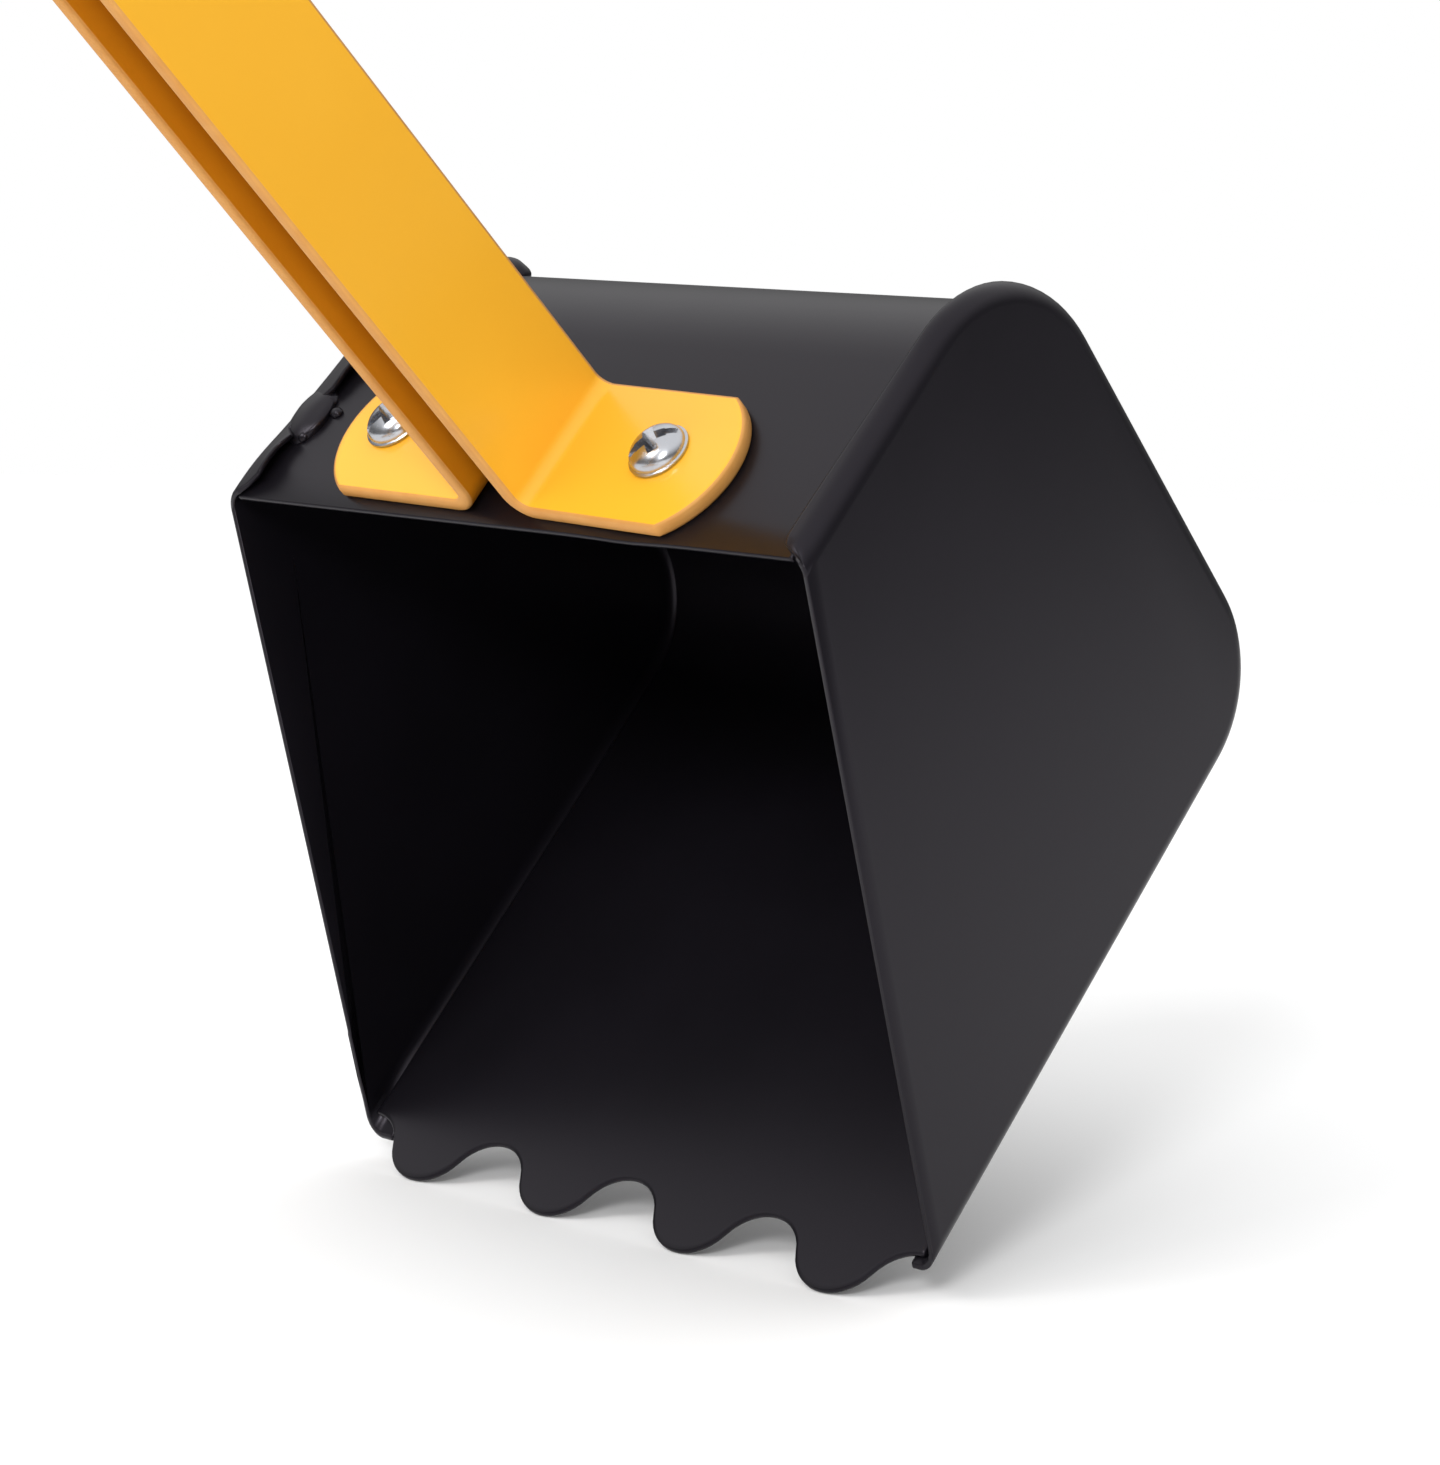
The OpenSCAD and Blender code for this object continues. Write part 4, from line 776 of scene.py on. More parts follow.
stick_bar(1, "stick_flat_bar_left", "stick_bar_left", -0.5, 35.0)
stick_bar(-1, "stick_flat_bar_right", "stick_bar_right", 1.0, 34.0)

# %% [markdown]
# ## Screws, bolts and nuts
# Fasteners repeat, so each kind is drawn once and Geometry Nodes set it on points, turned and
# scaled by attributes of the point. All are lathe work: rings of points stacked along the axis. A
# hexagon is a ring whose radius changes round it, and its chamfer is the same change taken off the
# height, which gives the curved corners that every real bolt head has.


# %% Lathe and hexagon
def lathe(name, rings, steps=48):
    """A closed turned shape. A ring is (radius, height), or a function of the angle giving both."""
    bm = bmesh.new()
    made = []
    for ring in rings:
        row = []
        for k in range(steps):
            a = 2 * math.pi * k / steps
            r, z = ring(a) if callable(ring) else ring
            row.append(bm.verts.new((r * math.cos(a), r * math.sin(a), z)))
        made.append(row)
    join_rows(bm, [row[-1:] + row for row in made])
    bm.faces.new(made[0][::-1])
    bm.faces.new(made[-1])
    return keep_mesh(name, bm)


HEX_RATIO, HEX_FLAT = 1.87, 1.5


def hexagon(z, chamfer):
    """A ring of a hexagon at a height, with its corners chamfered by so much up or down."""
    def at(angle):
        r = HEX_RATIO * math.cos(math.radians(30)) / math.cos(
            angle % math.radians(60) - math.radians(30))
        return r, z + chamfer * (r - HEX_FLAT) * math.tan(math.radians(30))
    return at


def thread(z_from, z_to, radius, pitch):
    """Rings of a screw thread, drawn as separate grooves."""
    rings, z = [], z_from
    while z + pitch <= z_to:
        rings += [(radius * 0.86, z), (radius, z + pitch * 0.45), (radius, z + pitch * 0.6)]
        z += pitch
    return rings + [(radius * 0.86, z_to)]


# Shapes for a bolt of radius 1; a collection hands them out in the order of their names
fastener_shapes = bpy.data.collections.new("fastener_shapes")
for shape in (
        lathe("a_bolt_head", [(1.45, 0), (1.45, 0.08), hexagon(0.08, 0), hexagon(1.3, -1),
                              (HEX_FLAT, 1.3), (1.2, 1.27)]),
        lathe("b_shank", [(1, 0), (1, 1)], 24),
        lathe("c_lock_nut", [(HEX_FLAT, 0), hexagon(0, 1), hexagon(1.5, -1), (HEX_FLAT, 1.5),
                             (1.42, 1.86), (1.3, 2), (1.08, 2), (1.04, 1.85)]),
        lathe("d_button_head", [(1.87, 0), (1.87, 0.18), (1.76, 0.5), (1.5, 0.76), (1.15, 0.92),
                                (0.7, 1), (0.55, 1), (0.5, 0.6)]),
        lathe("e_thread_end", thread(0, 0.5, 1, 0.25) + [(0.7, 0.52)], 24),
        lathe("f_plain_nut", [(HEX_FLAT, 0), hexagon(0, 1), hexagon(1.66, -1), (HEX_FLAT, 1.66),
                              (1.1, 1.66), (1.04, 1.5)])):
    fastener_shapes.objects.link(shape)

# %% [markdown]
# The two screws of the bucket are the brightest things in the photograph: low pan heads with a
# thin rim, and a recess that takes either driver, a cross with a slot running right across. The
# head is turned, and the recess is cut out of it with tapered cutters, as the punch would do.

# %% Pan head with its combined recess
PAN_R, PAN_RIM, PAN_DOME, PAN_SHANK = 6.4, 0.75, 3.4, 14.0
pan_rings = [(2.2, -PAN_SHANK), *thread(-PAN_SHANK + 0.5, -4.5, 3.0, 1.0), (3.0, -4.0), (3.0, 0),
             (PAN_R - 0.3, 0), (PAN_R, 0.25), (PAN_R, PAN_RIM - 0.1), (PAN_R - 0.2, PAN_RIM)]
for i in range(12):
    a = math.pi / 2 * i / 12
    pan_rings.append(((PAN_R - 0.45) * math.cos(a), PAN_RIM + 0.1 + PAN_DOME * math.sin(a)))
pan_screw = lathe("pan_screw", pan_rings)

# Each cutter: its turn, half length and half width at the bottom and at the top, and its bottom
CUTTER_TOP = 5.0
CUTTERS = ((0, (7.5, 0.75), (7.5, 0.85), 2.2), (0, (1.6, 0.7), (4.2, 1.3), 0.8),
           (90, (1.6, 0.7), (4.2, 1.3), 0.8))
cutter_bm = bmesh.new()
for turn, low, high, bottom in CUTTERS:
    for v in bmesh.ops.create_cube(cutter_bm, size=2.0)["verts"]:
        (long, wide), z = (high, CUTTER_TOP) if v.co.z > 0 else (low, bottom)
        v.co = Vector((v.co.x * long, v.co.y * wide, z))
        v.co.rotate(Matrix.Rotation(math.radians(turn), 3, "Z"))
cutter = keep_mesh("recess_cutter", cutter_bm)
modify(pan_screw, "punch", "BOOLEAN", object=cutter, operation="DIFFERENCE", solver="EXACT",
       use_self=True)
modify(pan_screw, "worn_edges", "BEVEL", width=0.14, segments=2, limit_method="ANGLE",
       angle_limit=math.radians(38), use_clamp_overlap=True)
apply_modifiers(pan_screw)
bpy.data.objects.remove(cutter)
screw_shapes = bpy.data.collections.new("screw_shapes")
screw_shapes.objects.link(pan_screw)
print("pan screw faces:", len(pan_screw.data.polygons))

# %% [markdown]
# The tree that sets fasteners: each point of the source mesh carries its turn, its size and the
# number of its shape. It is run once for each moving body, because all that one mesh holds moves
# together.

# %% Tree that sets fasteners on points
POINT_NUMBERS = {"turn": "FLOAT_VECTOR", "size": "FLOAT_VECTOR", "kind": "INT"}
fasten_tree, fasten_in = start_tree("set_fasteners", ["Shapes"], kind="Collection")
turn, size, kind = (
    add(fasten_tree, "GeometryNodeInputNamedAttribute", {"Name": label}, data_type=data_type)
    for label, data_type in POINT_NUMBERS.items())
spin = add(fasten_tree, "FunctionNodeEulerToRotation", {0: turn})
shelf = add(fasten_tree, "GeometryNodeCollectionInfo", {"Collection": (fasten_in, "Shapes"),
                                                        "Separate Children": True})
placed = add(fasten_tree, "GeometryNodeInstanceOnPoints", {
    "Points": fasten_in, "Instance": shelf, "Pick Instance": True, "Instance Index": kind,
    "Rotation": spin, "Scale": size})
end_tree(fasten_tree, fasten_in, placed)


def set_fasteners(name, body, shapes, places, node_names):
    """One mesh of fasteners from places: (point, direction, turn about it, size, shape number)."""
    mesh = bpy.data.meshes.new(name)
    mesh.from_pydata([tuple(p) for p, *_ in places], [], [])
    numbers = {"turn": [], "size": [], "kind": []}
    for _, way, about, scale, shape_number in places:
        turned = Vector(way).to_track_quat("Z", "Y").to_matrix() @ Matrix.Rotation(about, 3, "Z")
        numbers["turn"] += turned.to_euler()
        numbers["size"] += scale
        numbers["kind"].append(shape_number)
    for label, data_type in POINT_NUMBERS.items():
        key = "value" if data_type == "INT" else "vector"
        mesh.attributes.new(label, data_type, "POINT").data.foreach_set(key, numbers[label])
    piece = grow(name, mesh, fasten_tree, {"Shapes": shapes, "Finish": bright_zinc}, FROM_MM, body)
    finish_shape(piece, "zinc_steel", node_names, sharp=30)


HEAD, SHANK, LOCK_NUT, BUTTON, THREAD_END, PLAIN_NUT = range(6)
print("tree nodes:", len(fasten_tree.nodes))

# %% The bucket's screws
STICK_DIR = Matrix.Rotation(BUCKET_TILT, 3, "Y") @ Vector((0, 0, 1))
# Where each screw is on the top plate, and how far its recess is turned
SCREW_SPOTS = ((18.5, -33.8, math.radians(44)), (19.7, 40.4, math.radians(50)))


def from_bucket_mm(x, y, z):
    """A point of the bucket's frame in the digger's, in millimetres."""
    return FROM_BUCKET @ Vector((x, y, z)) / MM


set_fasteners("bucket_pan_screws", "stick", screw_shapes,
              [(from_bucket_mm(x, y, BAR_THICK), STICK_DIR, about, (1, 1, 1), 0)
               for x, y, about in SCREW_SPOTS], ["bucket_screws"])

# %% [markdown]
# The other fasteners are M8 and M6 hexagon bolts with lock nuts, whose plastic ring stops the
# pivots from working loose. A bolt across the arm has its head on the left and its nut on the
# right.

# %% Bolts and nuts
BOLT, SMALL_BOLT, THREAD_LEN = 4.0, 3.0, 2.0
# Half the width that each bolt across the arm goes through
BOOM_HALF, ELBOW_HALF, LINK_HALF, SEAT_HALF = 17.0, 12.0, 8.0, 28.1
# How far up the boom its lever stands, how far out its two bolts' heads lie, and half their spacing
LEVER_ALONG, LEVER_BOLT_OUT, LEVER_BOLT_HALF = 56.0, 15.0, 22.0
BOOM_PIVOT, BOOM_LEN, BOOM_RISE = Vector((130.0, 0.0, 300.0)), 300.0, math.radians(25)
BOOM_DIR = Vector((math.cos(BOOM_RISE), 0, math.sin(BOOM_RISE)))
ELBOW = BOOM_PIVOT + BOOM_LEN * BOOM_DIR
LINK_REAR = BOOM_PIVOT + LINK_ARM * STICK_DIR
LINK_FRONT = ELBOW + LINK_ARM * STICK_DIR
BOOM_LEVER_FOOT = BOOM_PIVOT + LEVER_ALONG * BOOM_DIR
POST_BOLT = Vector((0.0, 0.0, 232.3))
BRACKET_BOLTS = [Vector((x, 0.0, 224.0)) for x in (110.0, 150.0)]
SEAT_CROSS_BOLTS = [Vector((x, 0.0, 205.0)) for x in (-95.0, -25.0)]
SEAT_BOLTS = [Vector((x, y, 259.0)) for x in (-110.0, -10.0) for y in (-38.0, 38.0)]
UP, DOWN, LEFT = Vector((0, 0, 1)), Vector((0, 0, -1)), Vector((0, 1, 0))


def long_bolt(head_at, way, run, r=BOLT, nut=True):
    """Places for a bolt: head, shank over a run, and where asked a lock nut past the run's end."""
    # The turn comes from the place, since no two bolts stop at the same one
    about = 0.2 + 0.37 * (head_at[0] % 3)
    # The nut begins a nut's height past the run's end, which is that much further out than in CAD
    end = head_at - way * (run + 2 * r if nut else run)
    places = [(head_at, way, about, (r, r, r), HEAD)]
    if nut:
        places.append((end, -way, about + 0.5, (r, r, r), LOCK_NUT))
    places.append((head_at, -way, 0, (r, r, (head_at - end).length), SHANK))
    if nut:
        places.append((end, -way, 0, (r, r, THREAD_LEN * 2), THREAD_END))
    return places


def cross_bolt(point, half):
    """Places for a bolt across the arm."""
    return long_bolt(point + LEFT * half, LEFT, 2 * half)


turning_places = cross_bolt(BOOM_PIVOT, BOOM_HALF)
for at in BRACKET_BOLTS:
    turning_places += long_bolt(at, UP, 6.0)
for at in SEAT_CROSS_BOLTS:
    turning_places += cross_bolt(at, SEAT_HALF)
for at in SEAT_BOLTS:
    turning_places += long_bolt(at, DOWN, 9.0, SMALL_BOLT, nut=False)
boom_places = cross_bolt(ELBOW, ELBOW_HALF)
for along in (-LEVER_BOLT_HALF, LEVER_BOLT_HALF):
    at = BOOM_LEVER_FOOT + BOOM_DIR * along + LEFT * LEVER_BOLT_OUT
    boom_places.append((at, LEFT, 0, (SMALL_BOLT,) * 3, BUTTON))
    boom_places.append((at, -LEFT, 0, (SMALL_BOLT, SMALL_BOLT, 6.0), SHANK))
stick_places = cross_bolt(LINK_FRONT, LINK_HALF)
for x, y, about in SCREW_SPOTS:
    stick_places.append((from_bucket_mm(x, y, -SHEET), -STICK_DIR, about, (SMALL_BOLT,) * 3,
                         PLAIN_NUT))

for name, body, places, node_names in (
        ("post_hex_bolt", "stand", long_bolt(POST_BOLT, UP, 24.0, nut=False), ["post_bolt"]),
        ("turntable_hex_bolts", "turntable", turning_places,
         ["boom_pivot_bolt", "boom_pivot_nut", "boom_bracket_bolts", "seat_bracket_bolts",
          "seat_bolts"]),
        ("boom_bolts", "boom", boom_places, ["elbow_bolt", "elbow_nut", "boom_lever_bolts"]),
        ("stick_lever_bolts", "stick_lever", cross_bolt(LINK_REAR, LINK_HALF),
         ["link_rear_bolt", "link_rear_nut"]),
        ("stick_bolts", "stick", stick_places,
         ["link_front_bolt", "link_front_nut", "bucket_nuts"])):
    set_fasteners(name, body, fastener_shapes, places, node_names)
for collection in (fastener_shapes, screw_shapes):
    for shape in list(collection.objects):
        bpy.data.objects.remove(shape)
    bpy.data.collections.remove(collection)

# %% [markdown]
# ## Bars, tubes and brackets
# These have the right shape in the CAD, but its edges are knife sharp, and nothing made of steel
# is. Each is copied, its loose triangles are merged back to whole faces, and a small bevel rounds
# what was cut. Square tube is rolled round, so its long corners get a larger radius first.


# %% Round the edges of CAD nodes
def round_node(node_name, small, corner):
    """A copy of a CAD node with rounded edges, in its place. corner is for square tube."""
    bm = bmesh.new()
    bm.from_mesh(nodes[node_name].data)
    bmesh.ops.remove_doubles(bm, verts=bm.verts, dist=0.002 * MM)
    bmesh.ops.dissolve_limit(bm, angle_limit=math.radians(1), verts=bm.verts, edges=bm.edges)
    if corner:
        long = [e for e in bm.edges if e.calc_length() > 60 * MM and e.is_manifold
                and e.is_convex and e.calc_face_angle() > 1.0]
        bmesh.ops.bevel(bm, geom=long, offset=corner * MM, segments=4, profile=0.5, affect="EDGES",
                        clamp_overlap=True)
    piece = keep_mesh(node_name + "_rounded", bm, BODY_OF_NODE[node_name])
    round_cuts(piece, small, angle=30, clamp=True)
    finish_shape(piece, SLOT_OF_NODE[node_name], [node_name], sharp=30)


for small, corner, node_names in (
        (0.4, 3.0, ["leg_front_left", "leg_front_right", "leg_rear_left", "leg_rear_right"]),
        (0.4, 3.5, ["main_beam"]),
        (0.4, 3.0, ["footrest_stem"]),
        (0.6, 0.0, ["base_plate", "boom_bracket", "seat_bracket", "boom_bar_left",
                    "boom_bar_right", "boom_lever_plate", "stick_lever_plate_left",
                    "stick_lever_plate_right"]),
        (0.8, 0.0, ["link_bar"]),
        (0.25, 0.0, ["post", "post_collar", "turning_sleeve", "footrest_bar", "post_washer",
                     "elbow_spacer", "stick_lever_spacer", "lower_bush", "upper_bush",
                     "boom_pivot_washers", "elbow_washers", "lever_washers", "link_washers"]),
        (2.0, 0.0, ["leg_end_caps"]),
        (1.0, 0.0, ["beam_end_caps"])):
    for node_name in node_names:
        round_node(node_name, small, corner)

# %% [markdown]
# ## Lever tubes
# Each lever is a round tube bent twice over the same former, so that its grip stands clear of the
# arm. A tube follows a path, which is work for Geometry Nodes: the path's corners are filleted to
# the former's radius and a circle is swept along it. Solidify gives the wall.

# %% Tree of a bent tube, and the two levers
tube_tree, tube_in = start_tree("bent_tube", ["Tube radius", "Bend radius"])
path = add(tube_tree, "GeometryNodeMeshToCurve", {"Mesh": tube_in})
bent = add(tube_tree, "GeometryNodeFilletCurve",
           {"Curve": path, "Radius": (tube_in, "Bend radius"), "Count": 14}, mode="POLY")
round_section = add(tube_tree, "GeometryNodeCurvePrimitiveCircle",
                    {"Resolution": 40, "Radius": (tube_in, "Tube radius")})
tube_wall = add(tube_tree, "GeometryNodeCurveToMesh", {"Curve": bent,
                                                       "Profile Curve": round_section})
end_tree(tube_tree, tube_in, tube_wall)

TUBE_R, TUBE_WALL, TUBE_BEND = 11.0, 1.5, 50.0
GRIP_Y, GRIP_LEN, GRIP_CLEAR, GRIP_WALL, GRIP_TOP = 70.0, 115.0, 15.0, 2.5, 657.5
# Each lever's foot, its lean back and its kink out in degrees, and the y at which its tube starts
LEVERS = {"boom_lever": (BOOM_LEVER_FOOT, 15, 25, 26.0),
          "stick_lever": (Vector((112.0, 0.0, 378.0)), 8, 40, -19.0)}


def lever_run(foot, lean):
    """Length of a lever from its foot to the end of its tube, along its lean."""
    return (GRIP_TOP - foot.z) / math.cos(math.radians(lean))


def lever_place(foot, lean, y):
    """The matrix of a lever: its foot at the origin, its tube along z, leaning back."""
    return (FROM_MM @ Matrix.Translation((foot.x, y, foot.z))
            @ Matrix.Rotation(math.radians(-lean), 4, "Y"))


def lever_tube(name, node_name, foot, lean, kink, y):
    """A lever's tube, bent out by the kink to the grip's distance. y is where it starts."""
    a = math.radians(kink)
    offset = GRIP_Y - abs(y)
    rise = 2 * TUBE_BEND * math.sin(a) + (offset - 2 * TUBE_BEND * (1 - math.cos(a))) / math.tan(a)
    skip = TUBE_BEND * math.tan(a / 2)
    out = math.copysign(offset, y)
    run = lever_run(foot, lean)
    low = run - GRIP_LEN - GRIP_CLEAR - rise
    points = [(0, 0, 0), (0, 0, low + skip), (0, out, low + rise - skip), (0, out, run)]
    tube = grow(name, line_mesh(name + "_path", [points]), tube_tree,
                {"Tube radius": TUBE_R, "Bend radius": TUBE_BEND, "Finish": yellow_powder_coat},
                lever_place(foot, lean, y), BODY_OF_NODE[node_name])
    bm = bmesh.new()
    bm.from_mesh(tube.data)
    bmesh.ops.recalc_face_normals(bm, faces=bm.faces)
    bm.to_mesh(tube.data)
    bm.free()
    # The swept skin is open at its ends, so which way it faces is read off beside the foot
    axis = lever_place(foot, lean, y) @ Vector((0, 0, 0))
    near = min(tube.data.polygons, key=lambda f: (f.center - axis).length)
    if (near.center - axis).dot(near.normal) < 0:
        tube.data.flip_normals()
    thicken(tube, TUBE_WALL, 0.3)
    finish_shape(tube, "yellow_powder_coat", [node_name])


for name, (foot, lean, kink, y) in LEVERS.items():
    lever_tube(name + "_bent_tube", name + "_tube", foot, lean, kink, y)

# %% [markdown]
# ## Grips and footrest sleeves
# Both are soft PVC, dipped or moulded, with round ribs that the hand or shoe can feel. The radius
# is a rule of the distance along the sleeve: a sine makes the ribs, a short collar stands at the
# open end, and the closed end is rounded off. So one tree makes all four from their sizes.

# %% Tree of a ribbed sleeve
sleeve_tree, sleeve_in = start_tree("ribbed_sleeve", [
    "Length", "Body radius", "Rib height", "Rib pitch", "Collar height", "Collar length",
    "Round end"])
line = add(sleeve_tree, "GeometryNodeMeshToCurve", {"Mesh": sleeve_in})
fine = add(sleeve_tree, "GeometryNodeResampleCurve", {"Curve": line, "Count": 220})
along = add(sleeve_tree, "GeometryNodeSplineParameter")
ribs_gone = add(sleeve_tree, MATH, {0: (along, "Length"), 1: (sleeve_in, "Rib pitch")},
                operation="DIVIDE")
angle = add(sleeve_tree, MATH, {0: ribs_gone, 1: 2 * math.pi}, operation="MULTIPLY")
swing = add(sleeve_tree, MATH, {0: angle}, operation="SINE")
rib = add(sleeve_tree, "ShaderNodeMapRange",
          {"Value": swing, "From Min": -0.35, "From Max": 0.75,
           "To Max": (sleeve_in, "Rib height")}, interpolation_type="SMOOTHSTEP")
to_end = add(sleeve_tree, MATH, {0: (sleeve_in, "Length"), 1: (along, "Length")},
             operation="SUBTRACT")
rib_room = add(sleeve_tree, MATH, {0: (sleeve_in, "Rib pitch"), 1: 1.5}, operation="MULTIPLY")
not_at_end = add(sleeve_tree, MATH, {0: to_end, 1: rib_room}, operation="GREATER_THAN")
ribs_on = add(sleeve_tree, MATH, {0: rib, 1: not_at_end}, operation="MULTIPLY")
collar = add(sleeve_tree, "ShaderNodeMapRange",
             {"Value": (along, "Length"), "From Max": (sleeve_in, "Collar length"),
              "To Min": (sleeve_in, "Collar height"), "To Max": 0.0},
             interpolation_type="SMOOTHERSTEP")
outer = add(sleeve_tree, MATH, {0: ribs_on, 1: collar}, operation="MAXIMUM")
radius = add(sleeve_tree, MATH, {0: outer, 1: (sleeve_in, "Body radius")}, operation="ADD")
print("the rule of the radius has", len(sleeve_tree.nodes), "nodes")

# %% [markdown]
# The closed end follows a quarter of an ellipse: the share of the round end that is used up,
# squared and taken from one, and its root.

# %% Round end, and the four sleeves
used = add(sleeve_tree, MATH, {0: to_end, 1: (sleeve_in, "Round end")}, operation="DIVIDE",
           use_clamp=True)
unused = add(sleeve_tree, MATH, {0: 1.0, 1: used}, operation="SUBTRACT")
unused_squared = add(sleeve_tree, MATH, {0: unused, 1: 2.0}, operation="POWER")
# A little over one, so that the end closes in a small flat and not in a point
under_root = add(sleeve_tree, MATH, {0: 1.002, 1: unused_squared}, operation="SUBTRACT")
rounded = add(sleeve_tree, MATH, {0: under_root}, operation="SQRT")
final_radius = add(sleeve_tree, MATH, {0: radius, 1: rounded}, operation="MULTIPLY")
sleeve_ring = add(sleeve_tree, "GeometryNodeCurvePrimitiveCircle",
                  {"Resolution": 44, "Radius": 1.0})
sleeve_skin = add(sleeve_tree, "GeometryNodeCurveToMesh", {
    "Curve": fine, "Profile Curve": sleeve_ring, "Scale": final_radius, "Fill Caps": True})
end_tree(sleeve_tree, sleeve_in, sleeve_skin)
RIB_H, COLLAR_LEN, ROUND_END = 1.5, 7.0, 6.0


def ribbed_sleeve(name, node_name, matrices, length, body_r, pitch, collar_h):
    """Ribbed sleeves of one node: each starts at its open end and runs along its matrix's z."""
    sleeves = bmesh.new()
    for matrix in matrices:
        one = grow(name, line_mesh(name + "_line", [[(0, 0, 0), (0, 0, length)]]), sleeve_tree, {
            "Length": length, "Body radius": body_r, "Rib height": RIB_H, "Rib pitch": pitch,
            "Collar height": collar_h, "Collar length": COLLAR_LEN, "Round end": ROUND_END,
            "Finish": grip_rubber}, matrix, BODY_OF_NODE[node_name])
        sleeves.from_mesh(one.data)
        bpy.data.objects.remove(one)
    bmesh.ops.recalc_face_normals(sleeves, faces=sleeves.faces)
    piece = keep_mesh(name, sleeves, BODY_OF_NODE[node_name])
    finish_shape(piece, "grip_rubber", [node_name], sharp=60)


GRIP_BODY, GRIP_RIBS, GRIP_COLLAR = 14.0, 10, 4.5
for name, (foot, lean, _, y) in LEVERS.items():
    at = (lever_place(foot, lean, math.copysign(GRIP_Y, y))
          @ Matrix.Translation((0, 0, lever_run(foot, lean) - GRIP_LEN)))
    ribbed_sleeve(name + "_ribbed_grip", name + "_grip", [at], GRIP_LEN + GRIP_WALL, GRIP_BODY,
                  GRIP_LEN / GRIP_RIBS, GRIP_COLLAR)

FOOT_X, FOOT_Z, FOOT_OUT, FOOT_SLEEVE = 150.0, 120.0, 153.0, 93.0
foot_places = [FROM_MM @ Matrix.Translation((FOOT_X, side * (FOOT_OUT - FOOT_SLEEVE), FOOT_Z))
               @ Matrix.Rotation(math.radians(-90 * side), 4, "X") for side in (1, -1)]
ribbed_sleeve("footrest_ribbed_sleeves", "footrest_sleeves", foot_places, FOOT_SLEEVE,
              TUBE_R + 3.0, 12.4, 1.5)

# %% [markdown]
# ## Weld beads
# Brackets, tubes and legs are joined by short fillet welds. A bead is a row of small overlapping
# puddles, so its radius rises and falls by a rule along the seam, and Geometry Nodes sweep it. The
# seams themselves are simple lines where two pieces meet.

# %% Tree of a weld bead
bead_tree, bead_in = start_tree("weld_bead", ["Bead radius", "Puddle length"])
seam = add(bead_tree, "GeometryNodeMeshToCurve", {"Mesh": bead_in})
short = add(bead_tree, "GeometryNodeResampleCurve", {"Curve": seam, "Length": 0.6}, mode="LENGTH")
bead_run = add(bead_tree, "GeometryNodeSplineParameter")
puddle = add(bead_tree, MATH, {0: (bead_run, "Length"), 1: (bead_in, "Puddle length")},
             operation="PINGPONG")
swell = add(bead_tree, "ShaderNodeMapRange",
            {"Value": puddle, "From Max": (bead_in, "Puddle length"), "To Min": 0.8,
             "To Max": 1.08}, interpolation_type="SMOOTHSTEP")
thick = add(bead_tree, MATH, {0: swell, 1: (bead_in, "Bead radius")}, operation="MULTIPLY")
bead_ring = add(bead_tree, "GeometryNodeCurvePrimitiveCircle", {"Resolution": 10, "Radius": 1.0})
bead = add(bead_tree, "GeometryNodeCurveToMesh", {
    "Curve": short, "Profile Curve": bead_ring, "Scale": thick, "Fill Caps": True})
end_tree(bead_tree, bead_in, bead)

BEAD_R, PUDDLE_LEN, BEAD_OFF = 1.7, 1.5, 0.3
POST_R, SLEEVE_R, COLLAR_ENDS, BEAM_FACES = 16.0, 20.0, (33.0, 60.0), (220.0, 190.0)
LEG_SEAM_OUT, LEG_SEAM_Z, LEG_SEAM_RUN = 15.4, 3.4, (24.0, 44.0)
STEM_SEAM_OUT, STEM_SEAM_Z, STEM_SEAM_HALF = 13.2, 189.6, 14.0
LEVER_SEAM_HALF = 5.2


def ring_seam(centre, radius, turned, steps=48):
    """A closed seam round a tube, whose axis is z, or y when turned."""
    u, v = Vector((1, 0, 0)), Vector((0, 0, 1)) if turned else Vector((0, 1, 0))
    angles = [2 * math.pi * k / steps for k in range(steps + 1)]
    return [tuple(Vector(centre) + (u * math.cos(a) + v * math.sin(a)) * radius) for a in angles]


def lever_seams(foot, lean, face_y, run):
    """Two seams beside a lever's tube where it lies on its plate."""
    way = Vector((-math.sin(math.radians(lean)), 0, math.cos(math.radians(lean))))
    aside = Vector((way.z, 0, -way.x))
    return [[tuple(foot + way * t + aside * s + LEFT * face_y) for t in run]
            for s in (-LEVER_SEAM_HALF, LEVER_SEAM_HALF)]


stand_seams = [ring_seam((0, 0, z), POST_R + BEAD_OFF, False) for z in COLLAR_ENDS]
for quarter in range(4):
    a = math.pi / 4 + quarter * math.pi / 2
    ahead = Vector((math.cos(a), math.sin(a), 0))
    aside = Vector((-ahead.y, ahead.x, 0))
    stand_seams += [[tuple(ahead * r + aside * s + UP * LEG_SEAM_Z) for r in LEG_SEAM_RUN]
                    for s in (-LEG_SEAM_OUT, LEG_SEAM_OUT)]
turning_seams = [ring_seam((0, 0, z), SLEEVE_R + BEAD_OFF, False) for z in BEAM_FACES]
turning_seams += [ring_seam((FOOT_X, side * 13.0, FOOT_Z), TUBE_R + BEAD_OFF, True)
                  for side in (1, -1)]
turning_seams += [[(FOOT_X + x, side * STEM_SEAM_OUT, STEM_SEAM_Z)
                   for x in (-STEM_SEAM_HALF, STEM_SEAM_HALF)] for side in (1, -1)]

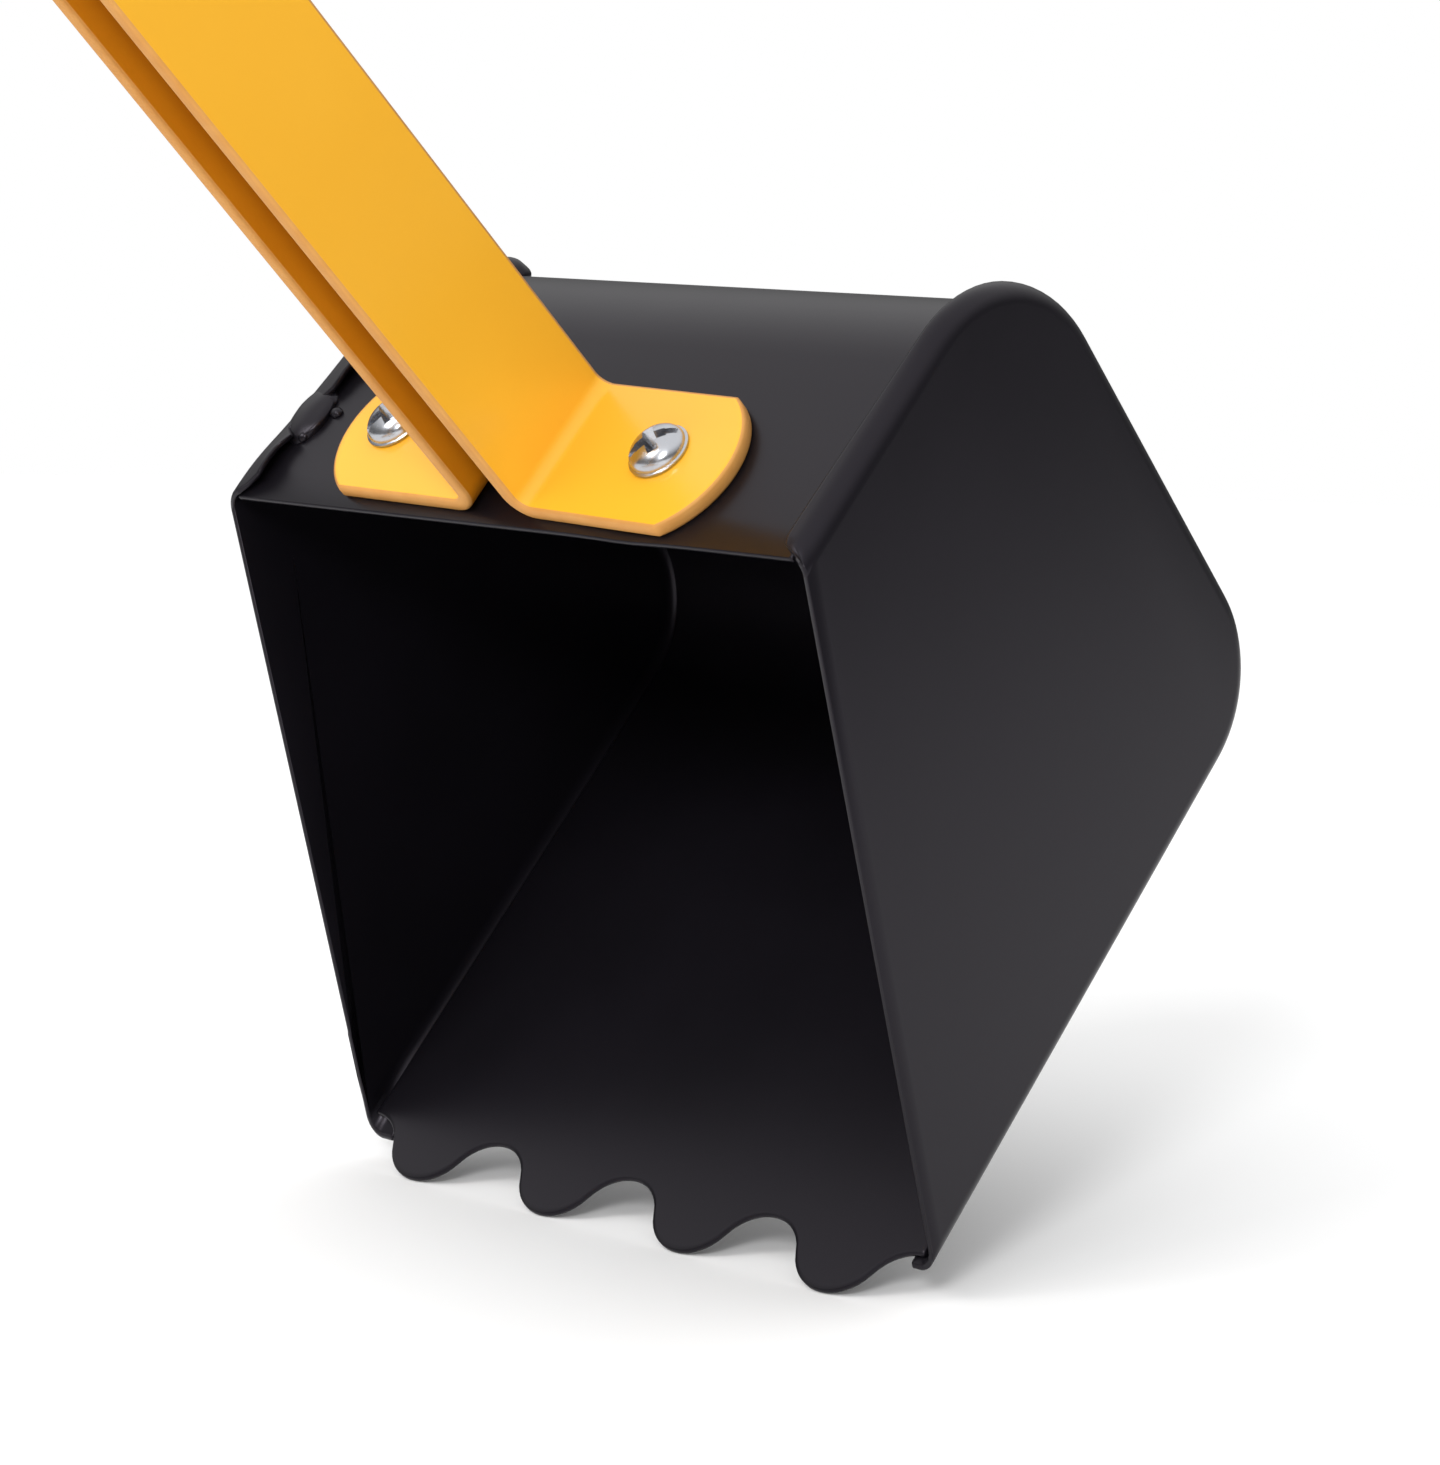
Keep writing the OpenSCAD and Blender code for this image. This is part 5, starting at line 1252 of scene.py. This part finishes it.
for name, body, seams in (
        ("stand_welds", "stand", stand_seams),
        ("turntable_welds", "turntable", turning_seams),
        ("boom_lever_weld", "boom", lever_seams(*LEVERS["boom_lever"][:2], 16.2, (6.0, 56.0))),
        ("stick_lever_weld", "stick_lever",
         lever_seams(*LEVERS["stick_lever"][:2], -9.2, (4.0, 44.0)))):
    beads = grow(name, line_mesh(name + "_seams", seams), bead_tree,
                 {"Bead radius": BEAD_R, "Puddle length": PUDDLE_LEN,
                  "Finish": yellow_powder_coat}, FROM_MM, body)
    finish_shape(beads, "yellow_powder_coat", sharp=80)

# %% [markdown]
# ## Seat
# The seat is blow or injection moulded polypropylene: one skin of even thickness, rolled over at
# the knees, dished for the hips, with wings that fade out to the front and the top. In CAD it was
# swept and cut. Here one grid covers it: rows along the side profile, columns across the section,
# and each row stops where its wing does, so that the edge is smooth everywhere.

# %% Side profile and section of the seat
SEAT_W, SEAT_T, PAN_Z, PAN_FRONT, PAN_LEN = 320.0, 4.5, 274.5, 45.0, 165.0
ROLL_R, ROLL_SWEEP, HIP_R, HIP_SWEEP, BACK_LEN = 26.0, 70.0, 62.0, 78.0, 85.0
WING_R, WING_SLOPE, WING_RISE, WING_LOW, WING_FADE = 30.0, math.radians(68), 34.0, 2.0, 70.0
PAN_STEP, ROLL_STEPS, HIP_STEPS, BACK_STEPS, HALF_COLUMNS = 6.0, 14, 22, 17, 26


def seat_side():
    """Points (x, z) of the seat's upper face from front to top, each with the way up from it."""
    path = []
    for k in range(ROLL_STEPS + 1):
        a = math.radians(ROLL_SWEEP * (1 - k / ROLL_STEPS))
        path.append(((PAN_FRONT + ROLL_R * math.sin(a), PAN_Z - ROLL_R + ROLL_R * math.cos(a)),
                     (math.sin(a), math.cos(a))))
    for k in range(1, round(PAN_LEN / PAN_STEP)):
        path.append(((PAN_FRONT - k * PAN_STEP, PAN_Z), (0.0, 1.0)))
    hip = (PAN_FRONT - PAN_LEN, PAN_Z + HIP_R)
    for k in range(HIP_STEPS + 1):
        a = math.radians(HIP_SWEEP * k / HIP_STEPS)
        path.append(((hip[0] - HIP_R * math.sin(a), hip[1] - HIP_R * math.cos(a)),
                     (math.sin(a), math.cos(a))))
    (x, z), up = path[-1]
    for k in range(1, BACK_STEPS + 1):
        d = BACK_LEN * k / BACK_STEPS
        path.append(((x - up[1] * d, z + up[0] * d), up))
    return path


WING_ARC_RISE = WING_R * (1 - math.cos(WING_SLOPE))
WING_SLANT = (WING_RISE - WING_ARC_RISE) / math.sin(WING_SLOPE)
SEAT_FLAT = (SEAT_W / 2 - WING_R * math.sin(WING_SLOPE) - WING_SLANT * math.cos(WING_SLOPE)
             - SEAT_T / 2 * (1 + math.sin(WING_SLOPE)))


def section_point(length):
    """(y, height) on the seat's upper face after a length from the middle."""
    if length <= SEAT_FLAT:
        return length, 0.0
    a = min((length - SEAT_FLAT) / WING_R, WING_SLOPE)
    over = max(length - SEAT_FLAT - WING_R * WING_SLOPE, 0.0)
    return (SEAT_FLAT + WING_R * math.sin(a) + over * math.cos(WING_SLOPE),
            WING_R * (1 - math.cos(a)) + over * math.sin(WING_SLOPE))


def length_at(height):
    """Length from the middle at which the wing reaches a height."""
    if height <= WING_ARC_RISE:
        return SEAT_FLAT + WING_R * math.acos(1 - height / WING_R)
    return SEAT_FLAT + WING_R * WING_SLOPE + (height - WING_ARC_RISE) / math.sin(WING_SLOPE)


print("half the seat's flat:", round(SEAT_FLAT, 1), "wing lengths:",
      [round(length_at(h), 1) for h in (WING_LOW, WING_RISE)])

# %% [markdown]
# The wing's height is a rule of the distance from both ends, and the two round corners at the
# front and at the top limit the width. A shallow dish across the pan and a raised lip along the
# whole edge stiffen a thin moulding, and both catch the light. The bosses under the pan take the
# bolts.

# %% The seat
SEAT_CORNER, CORNER_IN = 45.0, 13.0
DISH, DISH_HALF, LIP_H, LIP_IN, LIP_RAMP = 3.0, 95.0, 2.2, 9.0, 7.0
BOSS_Z = 262.0

side_path = seat_side()
side_lengths = lengths_to([point for point, _ in side_path])
roll_len = ROLL_R * math.radians(ROLL_SWEEP)
rows = []
for ((x, z), up), s in zip(side_path, side_lengths):
    to_go = side_lengths[-1] - s
    risen = smooth((s - roll_len + 4) / WING_FADE) * smooth(to_go / BACK_LEN)
    reach = length_at(WING_LOW + (WING_RISE - WING_LOW) * risen)
    in_corner = SEAT_CORNER - min(s, to_go)
    if in_corner > 0:
        reach = min(reach, SEAT_W / 2 - CORNER_IN - SEAT_CORNER
                    + math.sqrt(SEAT_CORNER ** 2 - min(in_corner, SEAT_CORNER - 0.5) ** 2))
    dish = DISH * smooth((s - 30) / 60) * smooth((to_go - 20) / 80)
    row = []
    for j in range(-HALF_COLUMNS, HALF_COLUMNS + 1):
        t = j / HALF_COLUMNS
        y, high = section_point(abs(t) * reach)
        high += LIP_H * smooth((abs(t) * reach - reach + LIP_IN) / LIP_RAMP)
        high -= dish * (1 - smooth(abs(y) / DISH_HALF))
        row.append((x + up[0] * high, math.copysign(y, t), z + up[1] * high))
    rows.append(row[::-1])
seat_shell = grid_piece("seat_moulding", rows, "turntable", FROM_MM)
thicken(seat_shell, SEAT_T, 1.4, segments=3, angle=45, clamp=True)
whole = bmesh.new()
whole.from_mesh(apply_modifiers(seat_shell))
for at in SEAT_BOLTS:
    boss = lathe("boss", [(7.2, 0), (8.2, 0.8), (9.0, 6.0), (10.5, 9.0)], 32)
    boss.data.transform(FROM_MM @ Matrix.Translation((at.x, at.y, BOSS_Z)))
    whole.from_mesh(boss.data)
    bpy.data.objects.remove(boss)
whole.to_mesh(seat_shell.data)
whole.free()
finish_shape(seat_shell, "black_plastic", ["seat"], sharp=40)
seat_top = max(v.co.z for v in seat_shell.data.vertices)
print("seat rows:", len(rows), "top at", round(seat_top / MM, 1), "mm")
